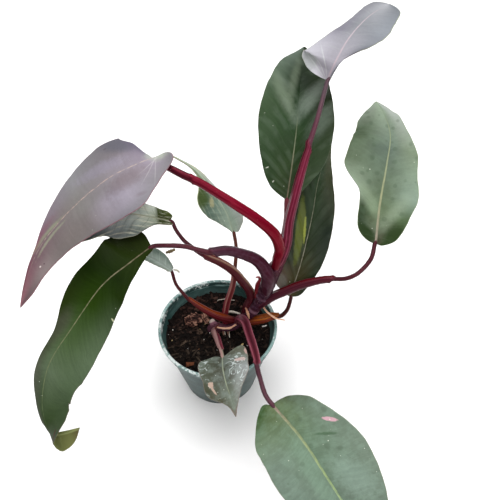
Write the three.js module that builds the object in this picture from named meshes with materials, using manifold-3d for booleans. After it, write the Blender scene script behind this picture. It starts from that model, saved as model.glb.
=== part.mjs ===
// Potted burgundy princess philodendron: eleven leaves on one creeping stem, in a small round nursery pot.
// Millimetres, +Z up. The origin is the centre of the pot's flat bottom and the plant leans out to the front, -Y.

import * as THREE from 'three';
import { mergeVertices } from 'three/addons/utils/BufferGeometryUtils.js';
import Module from 'manifold-3d';

const wasm = await Module();
wasm.setup();

// Clearance left between two pieces that rest on each other.
const GAP = 0.35;

// Pot: a thin tapered wall, a straight collar above a step, and a rolled lip.
const POT_HEIGHT = 76;
const POT_RIM_RADIUS = 51;
const POT_BASE_RADIUS = 33;
const POT_WALL = 1.6;
const COLLAR_HEIGHT = 13;
const COLLAR_STEP = 2;
const LIP_WIDTH = 2.6;
const LIP_OVERHANG = 1;
const LIP_ROUND = 0.7;
const LIP_DEPTH = 3.2;
const POT_SEGMENTS = 40;
const DRAIN_HOLES = 6;
const DRAIN_RADIUS = 4;
const DRAIN_RING_RADIUS = 22;
const DRAIN_SIDES = 16;
const FLOOR_CHAMFER = 0.7;
const STEP_SLOPE = 1.2;
const COLLAR_Z = POT_HEIGHT - COLLAR_HEIGHT;
const COLLAR_FOOT_RADIUS = POT_RIM_RADIUS - 3.4;
const WALL_TOP_RADIUS = COLLAR_FOOT_RADIUS - COLLAR_STEP;

// Soil: a filled plug of coarse mix that reaches a little above the pot's step.
const SOIL_SHOULDER_Z = 61.4;
const SOIL_EDGE_Z = 64.4;
const SOIL_MIDDLE_Z = 65;
const SOIL_ROUGHNESS = 1.1;
const SOIL_RINGS = 8;
const SOIL_SEGMENTS = 32;
const SOIL_SHOULDER_RADIUS = THREE.MathUtils.mapLinear(
  SOIL_SHOULDER_Z, 0, COLLAR_Z, POT_BASE_RADIUS, WALL_TOP_RADIUS,
) - POT_WALL - 2 * GAP;
const SOIL_RADIUS = COLLAR_FOOT_RADIUS - POT_WALL - 2 * GAP;

// Leaf blades: thickness of the flat part, depth of the midrib below it, and how finely a blade is split.
const BLADE_THICKNESS = 1.1;
const RIB_DEPTH = 1.3;
const BASE_HALF_WIDTH = 1.5;
const TIP_HALF_WIDTH = 0.35;
const BLADE_COLUMNS = [0, 0.16, 0.56, 1];
const BLADE_ROW_LENGTH = 9.5;
const VEIN_SWEEP = 1.6;
const LOBE_LIFT = 0.02;
const FOLD_KNEE = 0.4;

// Limbs: rings of a stem, a petiole or a root.
const LIMB_SIDES = 8;
const LIMB_RING_LENGTH = 7;
const CAP_TURNS = [Math.PI / 6, Math.PI / 3];
const LEAST_LIMB_RADIUS = 0.4;

// Each leaf: the midrib's route, the way that its upper face looks at chosen shares of its length, the flat outline
// from base to tip on either hand (along the midrib, away from it), the upward fold of each half in degrees at the
// base, the knee and the tip, and the wave along the edge.
const LEAVES = {
  top: {
    midrib: [[84, 85, 262], [89, 88, 275], [100, 106, 284], [117, 133, 286], [138, 166, 280]],
    faces: [[0, -0.45, -0.35, 0.8], [1, -0.25, -0.35, 0.9]],
    right: [[8, 3], [16, 4], [24, 7], [30, 12], [37, 18], [45, 22], [56, 23], [67, 21], [84, 15]],
    left: [[-1, 8], [-1, 16], [1, 25], [4, 31], [15, 27], [32, 18], [48, 13], [68, 10], [89, 9], [102, 7]],
    folds: { right: [-45, -12, 0], left: [8, 5, 5] },
    wave: { height: 0.6, count: 3, turn: 1 },
    colour: 0x6f6a70,
  },
  left_upper: {
    midrib: [
      [-44, 43, 224], [-59, 35, 222], [-77, 30, 214], [-103, 23, 194], [-129, 13, 168], [-142, -1, 149],
      [-150, -21, 128],
    ],
    faces: [[0, -0.1, -0.3, 0.95], [1, -0.45, -0.5, 0.75]],
    right: [[2, 10], [3, 20], [5, 30], [13, 37], [27, 38], [42, 38], [58, 34], [79, 24], [104, 13], [125, 4]],
    left: [
      [-6, 1], [-11, 2], [-14, 6], [-12, 11], [-1, 17], [11, 26], [20, 33], [34, 34], [66, 28], [94, 22],
      [145, 12],
    ],
    folds: { right: [-20, -12, 0], left: [-5, -5, 0] },
    wave: { height: 1, count: 3, turn: 0.5 },
    colour: 0x6a5f66,
  },
  back_left: {
    midrib: [[57, 50, 176], [60, 58, 205], [63, 73, 228], [66, 101, 243], [73, 160, 246]],
    faces: [[0, 0, -0.75, 0.65], [1, 0, -0.6, 0.8]],
    right: [[7, 9], [17, 15], [28, 22], [40, 26], [54, 28], [66, 28], [84, 25], [114, 19], [131, 13]],
    left: [[5, 8], [12, 15], [21, 20], [32, 24], [47, 28], [62, 30], [73, 29], [95, 23], [125, 15]],
    folds: { right: [8, 8, 8], left: [8, 8, 8] },
    wave: { height: 0.8, count: 4, turn: 0 },
    colour: 0x3c4a38,
  },
  back_right: {
    midrib: [[61, 10, 103], [70, 27, 127], [79, 55, 152], [85, 82, 168], [99, 126, 176]],
    faces: [[0, 0, -0.75, 0.65], [1, 0, -0.65, 0.75]],
    right: [[3, 7], [8, 10], [15, 12], [24, 15], [37, 18], [52, 19], [70, 18], [88, 16], [108, 11], [127, 5]],
    left: [[4, 10], [8, 15], [19, 18], [42, 18], [69, 19], [84, 18], [95, 16], [110, 11], [127, 6]],
    folds: { right: [6, 6, 6], left: [6, 6, 6] },
    wave: { height: 0.6, count: 3, turn: 0.8 },
    colour: 0x4a5546,
  },
  right: {
    midrib: [[128, 26, 150], [131, 48, 172], [137, 73, 191], [142, 98, 202], [139, 118, 208], [134, 135, 210]],
    faces: [[0, -0.1, -0.75, 0.65], [1, -0.05, -0.6, 0.8]],
    right: [
      [-1, 5], [2, 13], [7, 18], [15, 22], [27, 26], [38, 29], [48, 28], [60, 25], [76, 22], [94, 10], [111, 6],
    ],
    left: [
      [3, 8], [10, 14.5], [20, 16.5], [33, 16.5], [42, 19.5], [52, 30], [60, 34], [70, 33], [84, 31], [112, 20],
    ],
    folds: { right: [6, 6, 6], left: [6, 6, 6] },
    wave: { height: 0.7, count: 3, turn: 0.2 },
    colour: 0x667465,
  },
  front_right: {
    midrib: [[44, -91, 104], [64, -119, 106], [83, -148, 98], [101, -171, 84], [117, -189, 66]],
    faces: [[0, -0.1, -0.55, 0.83], [1, 0.1, -0.6, 0.8]],
    right: [[-4, 4], [-4, 9], [4, 20], [15, 29], [26, 31], [48, 33], [60, 32], [74, 29], [89, 25], [117, 12]],
    left: [[2, 8], [6, 15], [17, 24], [26, 27], [42, 33], [56, 36], [74, 34], [93, 28], [115, 17]],
    folds: { right: [5, 5, 5], left: [5, 5, 5] },
    wave: { height: 0.8, count: 3, turn: 0.4 },
    colour: 0x5a6b57,
  },
  left_lower: {
    midrib: [
      [-46, 3, 172], [-58, -18, 178], [-77, -35, 172], [-97, -54, 152], [-118, -69, 124], [-124, -87, 104],
      [-120, -102, 95], [-116, -107, 89], [-109, -105, 86.5], [-98, -100, 86],
    ],
    faces: [[0, -0.2, -0.45, 0.85], [0.8, -0.45, -0.6, 0.6], [0.88, -0.7, -0.5, -0.2], [1, 0.1, 0.5, -0.85]],
    right: [
      [-3, 4], [-5, 11], [-5, 18], [-2, 24], [3, 27], [16, 27], [44, 23], [58, 24], [77, 20], [105, 12],
      [138, 11], [160, 6],
    ],
    left: [
      [2, 3], [10, 4], [19, 6], [32, 11], [48, 19], [62, 22], [77, 25], [102, 30], [121, 30], [145, 27],
      [166, 24], [180, 12], [192, 8],
    ],
    folds: { right: [0, -4, -8], left: [-20, -8, 0] },
    wave: { height: 1, count: 4, turn: 0.3 },
    colour: 0x36412f,
  },
  left_middle: {
    midrib: [[-34, 30, 172], [-47, 22, 184], [-64, 23, 186], [-87, 25, 176], [-117, 21, 156]],
    faces: [[0, -0.15, -0.35, 0.9], [1, -0.2, -0.45, 0.85]],
    right: [[0, 3], [7, 8], [21, 8], [29, 10], [37, 13], [50, 16], [62, 14], [76, 10]],
    left: [[2, 3], [9, 4], [16, 5], [23, 11], [28, 18], [40, 20], [50, 18], [61, 13], [81, 8]],
    folds: { right: [6, 6, 6], left: [6, 6, 6] },
    wave: { height: 0.5, count: 2, turn: 0.6 },
    colour: 0x66735f,
  },
  mid_back: {
    midrib: [[14, 53, 136], [7, 62, 152], [-4, 72, 166], [-18, 90, 172], [-33, 107, 170], [-47, 121, 166]],
    faces: [[0, 0, -0.6, 0.8], [1, 0.47, 0.5, 0.67]],
    right: [[-1, 4], [3, 8], [7, 11], [14, 12], [22, 10], [32, 8], [43, 5], [67, 2.5], [97, 2.5]],
    left: [[3, 3], [10, 8], [19, 14], [26, 17], [37, 18], [46, 10], [54, 5], [65, 3]],
    folds: { right: [4, 4, 4], left: [4, 4, 4] },
    wave: { height: 0.4, count: 2, turn: 0 },
    colour: 0x6d7a68,
  },
  left_small: {
    midrib: [[-37, 24, 120], [-47, 26, 128], [-58, 31, 130], [-73, 37, 126]],
    faces: [[0, 0, -0.6, 0.8], [1, -0.1, -0.6, 0.8]],
    right: [[1, 3], [5, 5], [12, 8], [19, 9], [25, 8], [32, 6]],
    left: [[3, 3], [6, 3], [14, 4], [24, 4], [34, 2]],
    folds: { right: [6, 6, 6], left: [6, 6, 6] },
    wave: { height: 0.3, count: 2, turn: 0 },
    colour: 0x77836f,
  },
  front_small: {
    midrib: [[6, -45, 96], [7, -59, 100], [10, -71, 98], [14, -80, 91], [17, -88, 80]],
    faces: [[0, -0.02, -0.5, 0.86], [1, 0, -0.75, 0.66]],
    right: [[-1, 7], [3, 14], [6, 18], [11, 19], [16, 18], [21, 17], [29, 17], [35, 13], [44, 4]],
    left: [[-3, 6], [-7, 11], [-8, 17], [0, 20], [13, 20], [20, 20], [25, 17], [31, 12], [36, 8], [43, 4]],
    folds: { right: [4, 4, 4], left: [4, 4, 4] },
    wave: { height: 0.5, count: 3, turn: 0.5 },
    colour: 0x6c7a6d,
  },
};

// Limbs: route points with the limb's radius at each, from the stem outwards.
const STEM = [
  [-6, 3, 50, 4.5], [-6, 5, 60, 5], [-3, 4, 67, 5.2], [3, 2, 70, 3.4], [11, 1, 71, 3.2], [19, 5, 75, 4.8],
  [28, 7, 84, 4.9], [34, 8, 95, 5], [39, 9, 107, 5.8], [42, 10, 118, 6.1], [45, 12, 128, 6.2],
  [48, 13, 137, 6.1], [51, 14, 143, 4.6],
];
const OLD_STUMP = [[-6, 6, 66, 4], [-10, 10, 68, 3.4], [-12, 12, 69, 2.6]];
const ROOTS = [
  [[8, 0, 70, 1.2], [9, -2, 66, 0.9], [11, -4, 61, 0.8], [12, -5, 56, 0.8]],
  [[4, 1, 69, 1.1], [5, -2, 65, 0.9], [6, -3, 61, 0.8], [6, -4, 56, 0.8]],
];
const PETIOLES = {
  top: [
    [49, 13, 138, 4], [52, 14, 146, 4.6], [56, 21, 156, 4.6], [58, 30, 172, 4.2], [63, 39, 196, 3.7],
    [68, 48, 215, 3.1], [71, 53, 224, 2.6], [72, 56, 229, 2], [77, 65, 243, 1.8], [81, 76, 253, 1.7],
    [84, 84, 261, 1.7],
  ],
  left_upper: [
    [48, 11, 140, 4], [50, 14, 148, 4.5], [51, 17, 155, 4.6], [46, 19, 169, 4.5], [33, 20, 184, 4.2],
    [17, 22, 197, 4], [0, 28, 206, 3.6], [-9, 31, 210.5, 3.4], [-22, 35, 215.5, 3], [-33, 40, 219, 2.4],
    [-43, 44, 221, 2.2],
  ],
  left_lower: [
    [41, 3, 117, 3.4], [42, 4, 126, 5.6], [42, 5, 136, 5.8], [38, 8, 144, 5.4], [32, 9.5, 150.5, 5],
    [22, 9, 157, 4.4], [11, 7, 163, 4.1], [1, 2, 167, 3.8], [-3, 0.5, 168, 2.3], [-10, 1, 170, 2],
    [-21, 2, 173, 1.9], [-34, 2, 174, 1.9], [-45, 3, 172, 1.9],
  ],
  left_middle: [
    [24, 9, 79, 4.8], [26, 11, 88, 4.5], [29, 13, 97, 4.2], [27, 15, 106, 4.1], [21, 15, 118, 4],
    [14, 16, 129, 3.8], [4, 16, 139, 3.3], [-6, 14, 148, 2.8], [-12, 15, 152, 2], [-22.5, 18, 161, 1.7],
    [-29.5, 24.5, 167, 1.6], [-33, 30, 171, 1.6],
  ],
  right: [
    [36, 5, 97, 2.8], [41, 6, 102, 3.8], [47, 7, 107, 3.9], [57, 8.5, 112, 3.9], [69, 9, 119, 3.7],
    [83, 8, 126, 3.2], [92, 6, 130, 2.9], [95, 5.5, 131, 1.8], [104, 2, 136, 1.8], [113.5, 4, 141, 1.8],
    [123, 13, 146.5, 1.8], [127, 25, 150, 1.8],
  ],
  front_right: [
    [17, 5, 74, 4], [20, 2, 82, 4.2], [24, -7, 88, 3.8], [27, -21, 92, 3.6], [31, -39, 97, 3.4],
    [33, -51, 100, 2.8], [33, -56, 101, 2], [35.5, -70, 104, 1.8], [39, -83.5, 105, 1.8], [44, -91, 104, 1.8],
  ],
  back_left: [[50, 17, 134, 3], [53, 24, 146, 2.8], [57, 42, 161, 2.5], [57, 50, 174, 2.1]],
  back_right: [
    [26, 2, 77, 3.4], [33, 2, 80, 3.8], [40, 2, 82, 3.5], [46, 3, 84, 3.1], [50, 2, 86, 2.6], [51, 1, 87, 1.9],
    [55, 1, 89, 1.9], [59, 3, 94, 1.7], [61, 7, 98, 1.6], [62, 10, 102, 1.6],
  ],
  left_small: [
    [15, 6, 74, 3.6], [7, 4, 80, 4], [-2, 4, 85, 3.6], [-12, 6, 91, 3], [-21, 9, 97, 2.4], [-24, 10, 99, 1.7],
    [-28, 12, 104, 1.6], [-34, 16.5, 111, 1.5], [-37, 23, 118, 1.5],
  ],
  mid_back: [
    [7, 5, 70, 2.8], [6, 10, 77, 2.8], [8, 15, 88, 2.7], [12, 21, 99, 2.5], [14, 26, 108, 2.3],
    [15, 30, 114, 1.6], [16, 43, 127, 1.5], [14, 53, 135, 1.5],
  ],
  front_small: [
    [-2, 3, 66, 3], [-3, -6, 74, 2.8], [-1, -14, 82, 2.8], [2, -26, 89, 2.5], [4, -31, 91, 1.9],
    [5, -38, 94, 1.4], [6, -44, 96, 1.4],
  ],
};
// A dead bud that stands up from the stem with a hooked tip.
const SPIKE = [[34, 9, 105, 2.3], [34, 15, 111, 1.9], [36, 18, 115, 1.2], [35, 19, 117, 0.9], [33, 19, 117, 0.6]];
// Dry scales: papery strips left where old leaves fell, as route points with the half width at each.
const SCALES = {
  scale_right: [[38, 6, 96, 1.4], [42, 0, 95, 1.8], [49, -5, 93, 1.5], [57, -5, 90, 0.8]],
  scale_left: [[16, 0, 77, 1.6], [10, -3, 76, 1.8], [3, -3, 76, 1.6], [-2, -1, 75, 1.2]],
  scale_middle: [[24, 6, 93, 1], [26, 1, 91, 2], [27, -1, 86, 0.8]],
};
const SCALE_THICKNESS = 0.8;
const SCALE_ARCH = 0.35;
const SCALE_ROWS = 8;
const SCALE_LEAN = 0.3;

// How far the points of a lump are pushed in and out, as a share of its size.
const LUMP_ROUGHNESS = 0.18;

// Loose pieces: a bark lump that lies on the soil, and chips of bark and perlite sunk into its top. Each has its
// middle (a chip's height is the soil's), its half sizes and its turn about Z in degrees.
const BARK_LUMP = { at: [-21, 12, 66.2], half: [7, 5.5, 3.4], turn: 15 };
const CHIPS = [
  { at: [39, 8], half: [3, 1.4, 1.6], turn: 10 },
  { at: [20, -19], half: [2, 2.6, 1.6], turn: 40 },
  { at: [-30, -14], half: [3.4, 1.8, 1.6], turn: 30 },
  { at: [-8, -24], half: [2.4, 3.4, 1.8], turn: 70 },
  { at: [-22, -30], half: [4, 2, 1.5], turn: 110 },
  { at: [30, -24], half: [3.2, 2, 1.7], turn: 150 },
  { at: [5, 26], half: [3, 2.2, 1.6], turn: 20 },
  { at: [-14, 33], half: [3.6, 2, 1.5], turn: 80 },
  { at: [26, 28], half: [2.6, 2, 1.6], turn: 130 },
  { at: [-36, 2], half: [2.4, 1.6, 1.4], turn: 0 },
  { at: [2, -38], half: [3, 1.6, 1.4], turn: 60 },
];

// A repeatable scatter between -1 and 1 from one whole number.
function scatter(seed) {
  const wave = Math.sin(seed * 12.9898 + 4.1414) * 43758.5453;
  return 2 * (wave - Math.floor(wave)) - 1;
}

function solidFromLists(positions, triangles) {
  return new wasm.Manifold(new wasm.Mesh({
    numProp: 3,
    vertProperties: new Float32Array(positions),
    triVerts: new Uint32Array(triangles),
  }));
}

function solidFromGeometry(geometry) {
  const bare = geometry.clone();
  bare.deleteAttribute('normal');
  bare.deleteAttribute('uv');
  const merged = mergeVertices(bare);
  return solidFromLists(merged.attributes.position.array, merged.index.array);
}

function geometryFromSolid(solid) {
  const mesh = solid.getMesh();
  const geometry = new THREE.BufferGeometry();
  geometry.setAttribute('position', new THREE.BufferAttribute(mesh.vertProperties.slice(), 3));
  geometry.setIndex(new THREE.BufferAttribute(mesh.triVerts.slice(), 1));
  geometry.computeVertexNormals();
  return geometry;
}

function largestPiece(solid) {
  const pieces = solid.decompose();
  return pieces.reduce((best, piece) => (piece.volume() > best.volume() ? piece : best));
}

function catmull(points) {
  const vectors = points.map((point) => new THREE.Vector3(point[0], point[1], point[2]));
  return new THREE.CatmullRomCurve3(vectors, false, 'catmullrom', 0.5);
}

// Value of a list of [share, ...numbers] entries at a share of the whole, blended in straight lines.
function blendAlong(entries, share) {
  const next = Math.max(1, entries.findIndex((entry) => entry[0] >= share));
  const [from, to] = [entries[next - 1], entries[next]];
  const mix = THREE.MathUtils.clamp((share - from[0]) / (to[0] - from[0]), 0, 1);
  return from.slice(1).map((value, index) => THREE.MathUtils.lerp(value, to[index + 1], mix));
}

// A limb along a route, with rounded ends. Growth is added to its radius all round.
function limb(route, growth = 0) {
  const curve = catmull(route);
  const radii = new THREE.CatmullRomCurve3(
    route.map((point) => new THREE.Vector3(point[3], 0, 0)), false, 'catmullrom', 0.5,
  );
  const steps = Math.max(route.length, Math.round(curve.getLength() / LIMB_RING_LENGTH));
  const frames = curve.computeFrenetFrames(steps, false);
  const rings = [];
  const addRing = (index, shift, scale) => {
    const share = index / steps;
    const radius = Math.max(LEAST_LIMB_RADIUS, radii.getPoint(curve.getUtoTmapping(share)).x) + growth;
    const centre = curve.getPointAt(share).addScaledVector(frames.tangents[index], shift * radius);
    rings.push({ centre, radius: radius * scale, normal: frames.normals[index], binormal: frames.binormals[index] });
  };
  CAP_TURNS.forEach((turn) => addRing(0, -Math.cos(turn), Math.sin(turn)));
  for (let index = 0; index <= steps; index += 1) {
    addRing(index, 0, 1);
  }
  [...CAP_TURNS].reverse().forEach((turn) => addRing(steps, Math.cos(turn), Math.sin(turn)));

  const positions = [];
  const triangles = [];
  rings.forEach(({ centre, radius, normal, binormal }) => {
    for (let side = 0; side < LIMB_SIDES; side += 1) {
      const angle = (side / LIMB_SIDES) * 2 * Math.PI;
      const point = centre.clone()
        .addScaledVector(normal, radius * Math.cos(angle))
        .addScaledVector(binormal, radius * Math.sin(angle));
      positions.push(point.x, point.y, point.z);
    }
  });
  for (let ring = 0; ring + 1 < rings.length; ring += 1) {
    for (let side = 0; side < LIMB_SIDES; side += 1) {
      const here = ring * LIMB_SIDES + side;
      const beside = ring * LIMB_SIDES + ((side + 1) % LIMB_SIDES);
      triangles.push(here, beside, beside + LIMB_SIDES, here, beside + LIMB_SIDES, here + LIMB_SIDES);
    }
  }
  const [first, last] = [rings[0].centre, rings[rings.length - 1].centre];
  const startPole = positions.length / 3;
  positions.push(first.x, first.y, first.z, last.x, last.y, last.z);
  const lastRing = (rings.length - 1) * LIMB_SIDES;
  for (let side = 0; side < LIMB_SIDES; side += 1) {
    const beside = (side + 1) % LIMB_SIDES;
    triangles.push(startPole, beside, side, startPole + 1, lastRing + side, lastRing + beside);
  }
  return solidFromLists(positions, triangles);
}

// A sheet from a grid of places with the way up at each: rows along it, columns across it. Thickness below the
// middle surface may differ from that above it.
function sheet(grid) {
  const rows = grid.length;
  const columns = grid[0].length;
  const positions = [];
  const triangles = [];
  for (const side of ['above', 'below']) {
    grid.flat().forEach(({ place, up, above, below }) => {
      const point = place.clone().addScaledVector(up, side === 'above' ? above : -below);
      positions.push(point.x, point.y, point.z);
    });
  }
  const at = (row, column) => row * columns + column;
  const under = rows * columns;
  for (let row = 0; row + 1 < rows; row += 1) {
    for (let column = 0; column + 1 < columns; column += 1) {
      const [a, b] = [at(row, column), at(row, column + 1)];
      const [c, d] = [at(row + 1, column + 1), at(row + 1, column)];
      triangles.push(a, b, c, a, c, d);
      triangles.push(under + a, under + c, under + b, under + a, under + d, under + c);
    }
  }
  const across = [...Array(columns - 1).keys()];
  const along = [...Array(rows - 1).keys()];
  const border = [
    ...across.map((column) => at(0, column)),
    ...along.map((row) => at(row, columns - 1)),
    ...across.map((column) => at(rows - 1, columns - 1 - column)),
    ...along.map((row) => at(rows - 1 - row, 0)),
  ];
  border.forEach((here, index) => {
    const next = border[(index + 1) % border.length];
    triangles.push(here, under + here, under + next, here, under + next, next);
  });
  return solidFromLists(positions, triangles);
}

// Fold of one half of a blade, in radians, at a share of the midrib's length.
function foldAt([base, knee, tip], share) {
  const degrees = share < FOLD_KNEE
    ? THREE.MathUtils.lerp(base, knee, THREE.MathUtils.smoothstep(share, 0, FOLD_KNEE))
    : THREE.MathUtils.lerp(knee, tip, THREE.MathUtils.smoothstep(share, FOLD_KNEE, 1));
  return THREE.MathUtils.degToRad(degrees);
}

// A blade: each row runs from the midrib to the outline as a side vein does, and bends with the midrib's route.
function blade(leaf, growth = 0) {
  const midrib = catmull(leaf.midrib);
  const length = midrib.getLength();
  const rows = Math.max(6, Math.round(length / BLADE_ROW_LENGTH));
  const outline = (points) => catmull(
    [[0, BASE_HALF_WIDTH], ...points, [length, TIP_HALF_WIDTH]].map(([x, y]) => [x, y, 0]),
  );
  const halves = [
    { sign: -1, edge: outline(leaf.left), fold: leaf.folds.left },
    { sign: 1, edge: outline(leaf.right), fold: leaf.folds.right },
  ];
  const spot = (row, column, half) => {
    const share = row / rows;
    const root = length * share ** VEIN_SWEEP;
    const edge = half.edge.getPointAt(share);
    const reach = new THREE.Vector2(edge.x - root, edge.y);
    const out = reach.length() + growth;
    const x = root + (reach.x / reach.length()) * out * column;
    const y = Math.max(0, (reach.y / reach.length()) * out * column);
    const along = THREE.MathUtils.clamp(x / length, 0, 1);
    const tangent = midrib.getTangentAt(along);
    const up = new THREE.Vector3(...blendAlong(leaf.faces, along));
    up.addScaledVector(tangent, -up.dot(tangent)).normalize();
    const outward = tangent.clone().cross(up).multiplyScalar(half.sign);
    const fold = foldAt(half.fold, along);
    const { height, count, turn } = leaf.wave;
    const ripple = height * Math.sin(2 * Math.PI * (count * share + turn)) * Math.sin(Math.PI * share) * column ** 2;
    const behind = Math.min(0, x);
    const place = midrib.getPointAt(along)
      .addScaledVector(tangent, x - along * length)
      .addScaledVector(outward, y * Math.cos(fold))
      .addScaledVector(up, y * Math.sin(fold) + ripple + LOBE_LIFT * behind ** 2);
    const rib = column === 0 ? RIB_DEPTH * (1 - 0.7 * share) : 0;
    const halfThickness = BLADE_THICKNESS / 2 + growth;
    return { place, up, above: halfThickness, below: halfThickness + rib };
  };
  const grid = [];
  for (let row = 0; row <= rows; row += 1) {
    const left = BLADE_COLUMNS.slice(1).reverse().map((column) => spot(row, column, halves[0]));
    const right = BLADE_COLUMNS.map((column) => spot(row, column, halves[1]));
    grid.push([...left, ...right]);
  }
  return sheet(grid);
}

// A papery strip along a route, arched across its width.
function dryScale(route, growth = 0) {
  const curve = catmull(route);
  const widths = catmull(route.map((point) => [point[3], 0, 0]));
  const grid = [];
  for (let row = 0; row <= SCALE_ROWS; row += 1) {
    const share = row / SCALE_ROWS;
    const tangent = curve.getTangentAt(share);
    const up = new THREE.Vector3(0, -SCALE_LEAN, 1);
    up.addScaledVector(tangent, -up.dot(tangent)).normalize();
    const outward = tangent.clone().cross(up);
    const width = widths.getPoint(curve.getUtoTmapping(share)).x + growth;
    grid.push([-1, 0, 1].map((column) => ({
      place: curve.getPointAt(share)
        .addScaledVector(outward, column * width)
        .addScaledVector(up, -SCALE_ARCH * width * column ** 2),
      up,
      above: SCALE_THICKNESS / 2 + growth,
      below: SCALE_THICKNESS / 2 + growth,
    })));
  }
  return sheet(grid);
}

// A rough lump: a ball of few faces, pushed about and stretched.
function lump({ at, half, turn }, growth = 0, detail = 1) {
  const geometry = new THREE.IcosahedronGeometry(1, detail);
  geometry.deleteAttribute('normal');
  geometry.deleteAttribute('uv');
  const ball = mergeVertices(geometry, 0.001);
  const points = ball.attributes.position;
  for (let index = 0; index < points.count; index += 1) {
    const push = 1 + LUMP_ROUGHNESS * scatter(index + at[0] * 3 + at[1]);
    points.setXYZ(index, points.getX(index) * push, points.getY(index) * push, points.getZ(index) * push);
  }
  ball.scale(half[0] + growth, half[1] + growth, half[2] + growth);
  ball.rotateZ(THREE.MathUtils.degToRad(turn));
  ball.translate(...at);
  return solidFromGeometry(ball);
}

// Height of the soil's mound at a distance from the middle of the pot.
function soilTop(radius) {
  return THREE.MathUtils.lerp(SOIL_MIDDLE_Z, SOIL_EDGE_Z, (radius / SOIL_RADIUS) ** 2);
}

function pot() {
  const lipFoot = POT_HEIGHT - LIP_DEPTH;
  const innerLip = POT_RIM_RADIUS - LIP_WIDTH;
  const innerFloor = POT_BASE_RADIUS - POT_WALL;
  const profile = [
    [0, 0], [POT_BASE_RADIUS - 1, 0], [POT_BASE_RADIUS, 1],
    [WALL_TOP_RADIUS, COLLAR_Z - 1], [COLLAR_FOOT_RADIUS, COLLAR_Z],
    [POT_RIM_RADIUS - LIP_OVERHANG, lipFoot], [POT_RIM_RADIUS - LIP_ROUND / 2, lipFoot + LIP_ROUND / 2],
    [POT_RIM_RADIUS, POT_HEIGHT - LIP_DEPTH / 2], [POT_RIM_RADIUS - LIP_ROUND, POT_HEIGHT - LIP_ROUND / 2],
    [POT_RIM_RADIUS - LIP_WIDTH / 2, POT_HEIGHT], [innerLip + LIP_ROUND / 2, POT_HEIGHT - LIP_ROUND],
    [innerLip, POT_HEIGHT - LIP_DEPTH / 2], [COLLAR_FOOT_RADIUS - POT_WALL, COLLAR_Z + STEP_SLOPE / 2],
    [WALL_TOP_RADIUS - POT_WALL, COLLAR_Z - STEP_SLOPE], [innerFloor, POT_WALL + FLOOR_CHAMFER],
    [innerFloor - FLOOR_CHAMFER, POT_WALL], [0, POT_WALL],
  ];
  const turned = new THREE.LatheGeometry(profile.map(([r, z]) => new THREE.Vector2(r, z)), POT_SEGMENTS);
  turned.rotateX(Math.PI / 2);
  let body = solidFromGeometry(turned);
  for (let hole = 0; hole < DRAIN_HOLES; hole += 1) {
    const angle = (hole / DRAIN_HOLES) * 2 * Math.PI;
    const drill = new THREE.CylinderGeometry(DRAIN_RADIUS, DRAIN_RADIUS, 4 * POT_WALL, DRAIN_SIDES);
    drill.rotateX(Math.PI / 2);
    drill.translate(DRAIN_RING_RADIUS * Math.cos(angle), DRAIN_RING_RADIUS * Math.sin(angle), POT_WALL / 2);
    body = body.subtract(solidFromGeometry(drill));
  }
  return body;
}

function soil() {
  const side = [
    [POT_BASE_RADIUS - POT_WALL - GAP - FLOOR_CHAMFER, POT_WALL + GAP],
    [POT_BASE_RADIUS - POT_WALL - GAP, POT_WALL + GAP + FLOOR_CHAMFER],
    [SOIL_SHOULDER_RADIUS, SOIL_SHOULDER_Z],
    [SOIL_RADIUS, SOIL_EDGE_Z],
  ];
  const positions = [];
  const triangles = [];
  const addRing = (radius, heightAt) => {
    for (let segment = 0; segment < SOIL_SEGMENTS; segment += 1) {
      const angle = (segment / SOIL_SEGMENTS) * 2 * Math.PI;
      positions.push(radius * Math.cos(angle), radius * Math.sin(angle), heightAt(segment));
    }
  };
  side.forEach(([radius, z]) => addRing(radius, () => z));
  for (let ring = 1; ring < SOIL_RINGS; ring += 1) {
    const radius = SOIL_RADIUS * (1 - ring / SOIL_RINGS);
    const roughness = (segment) => SOIL_ROUGHNESS * scatter(ring * SOIL_SEGMENTS + segment);
    addRing(radius, (segment) => soilTop(radius) + roughness(segment));
  }
  const rings = positions.length / 3 / SOIL_SEGMENTS;
  const floorPole = positions.length / 3;
  positions.push(0, 0, POT_WALL + GAP, 0, 0, SOIL_MIDDLE_Z);
  for (let ring = 0; ring + 1 < rings; ring += 1) {
    for (let segment = 0; segment < SOIL_SEGMENTS; segment += 1) {
      const here = ring * SOIL_SEGMENTS + segment;
      const beside = ring * SOIL_SEGMENTS + ((segment + 1) % SOIL_SEGMENTS);
      triangles.push(here, beside, beside + SOIL_SEGMENTS, here, beside + SOIL_SEGMENTS, here + SOIL_SEGMENTS);
    }
  }
  const lastRing = (rings - 1) * SOIL_SEGMENTS;
  for (let segment = 0; segment < SOIL_SEGMENTS; segment += 1) {
    const beside = (segment + 1) % SOIL_SEGMENTS;
    triangles.push(floorPole, beside, segment, floorPole + 1, lastRing + segment, lastRing + beside);
  }
  const plug = solidFromLists(positions, triangles);
  return CHIPS.reduce((body, { at: [x, y], half, turn }) => {
    const chip = { at: [x, y, soilTop(Math.hypot(x, y))], half, turn };
    return body.add(lump(chip, 0, 0));
  }, plug);
}

function stem(growth = 0) {
  return [OLD_STUMP, ...ROOTS].reduce((body, route) => body.add(limb(route, growth)), limb(STEM, growth));
}

// The pieces in the order in which they are seated: each is cut clear of those before it.
const PLASTIC = { colour: 0x4d7069, roughness: 0.45 };
const EARTH = { colour: 0x2e211b, roughness: 0.95 };
const BURGUNDY = { colour: 0x4e1f29, roughness: 0.4 };
const PAPERY = { colour: 0xb58a6a, roughness: 0.8 };
const BARK = { colour: 0x6a4034, roughness: 0.9 };

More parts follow.
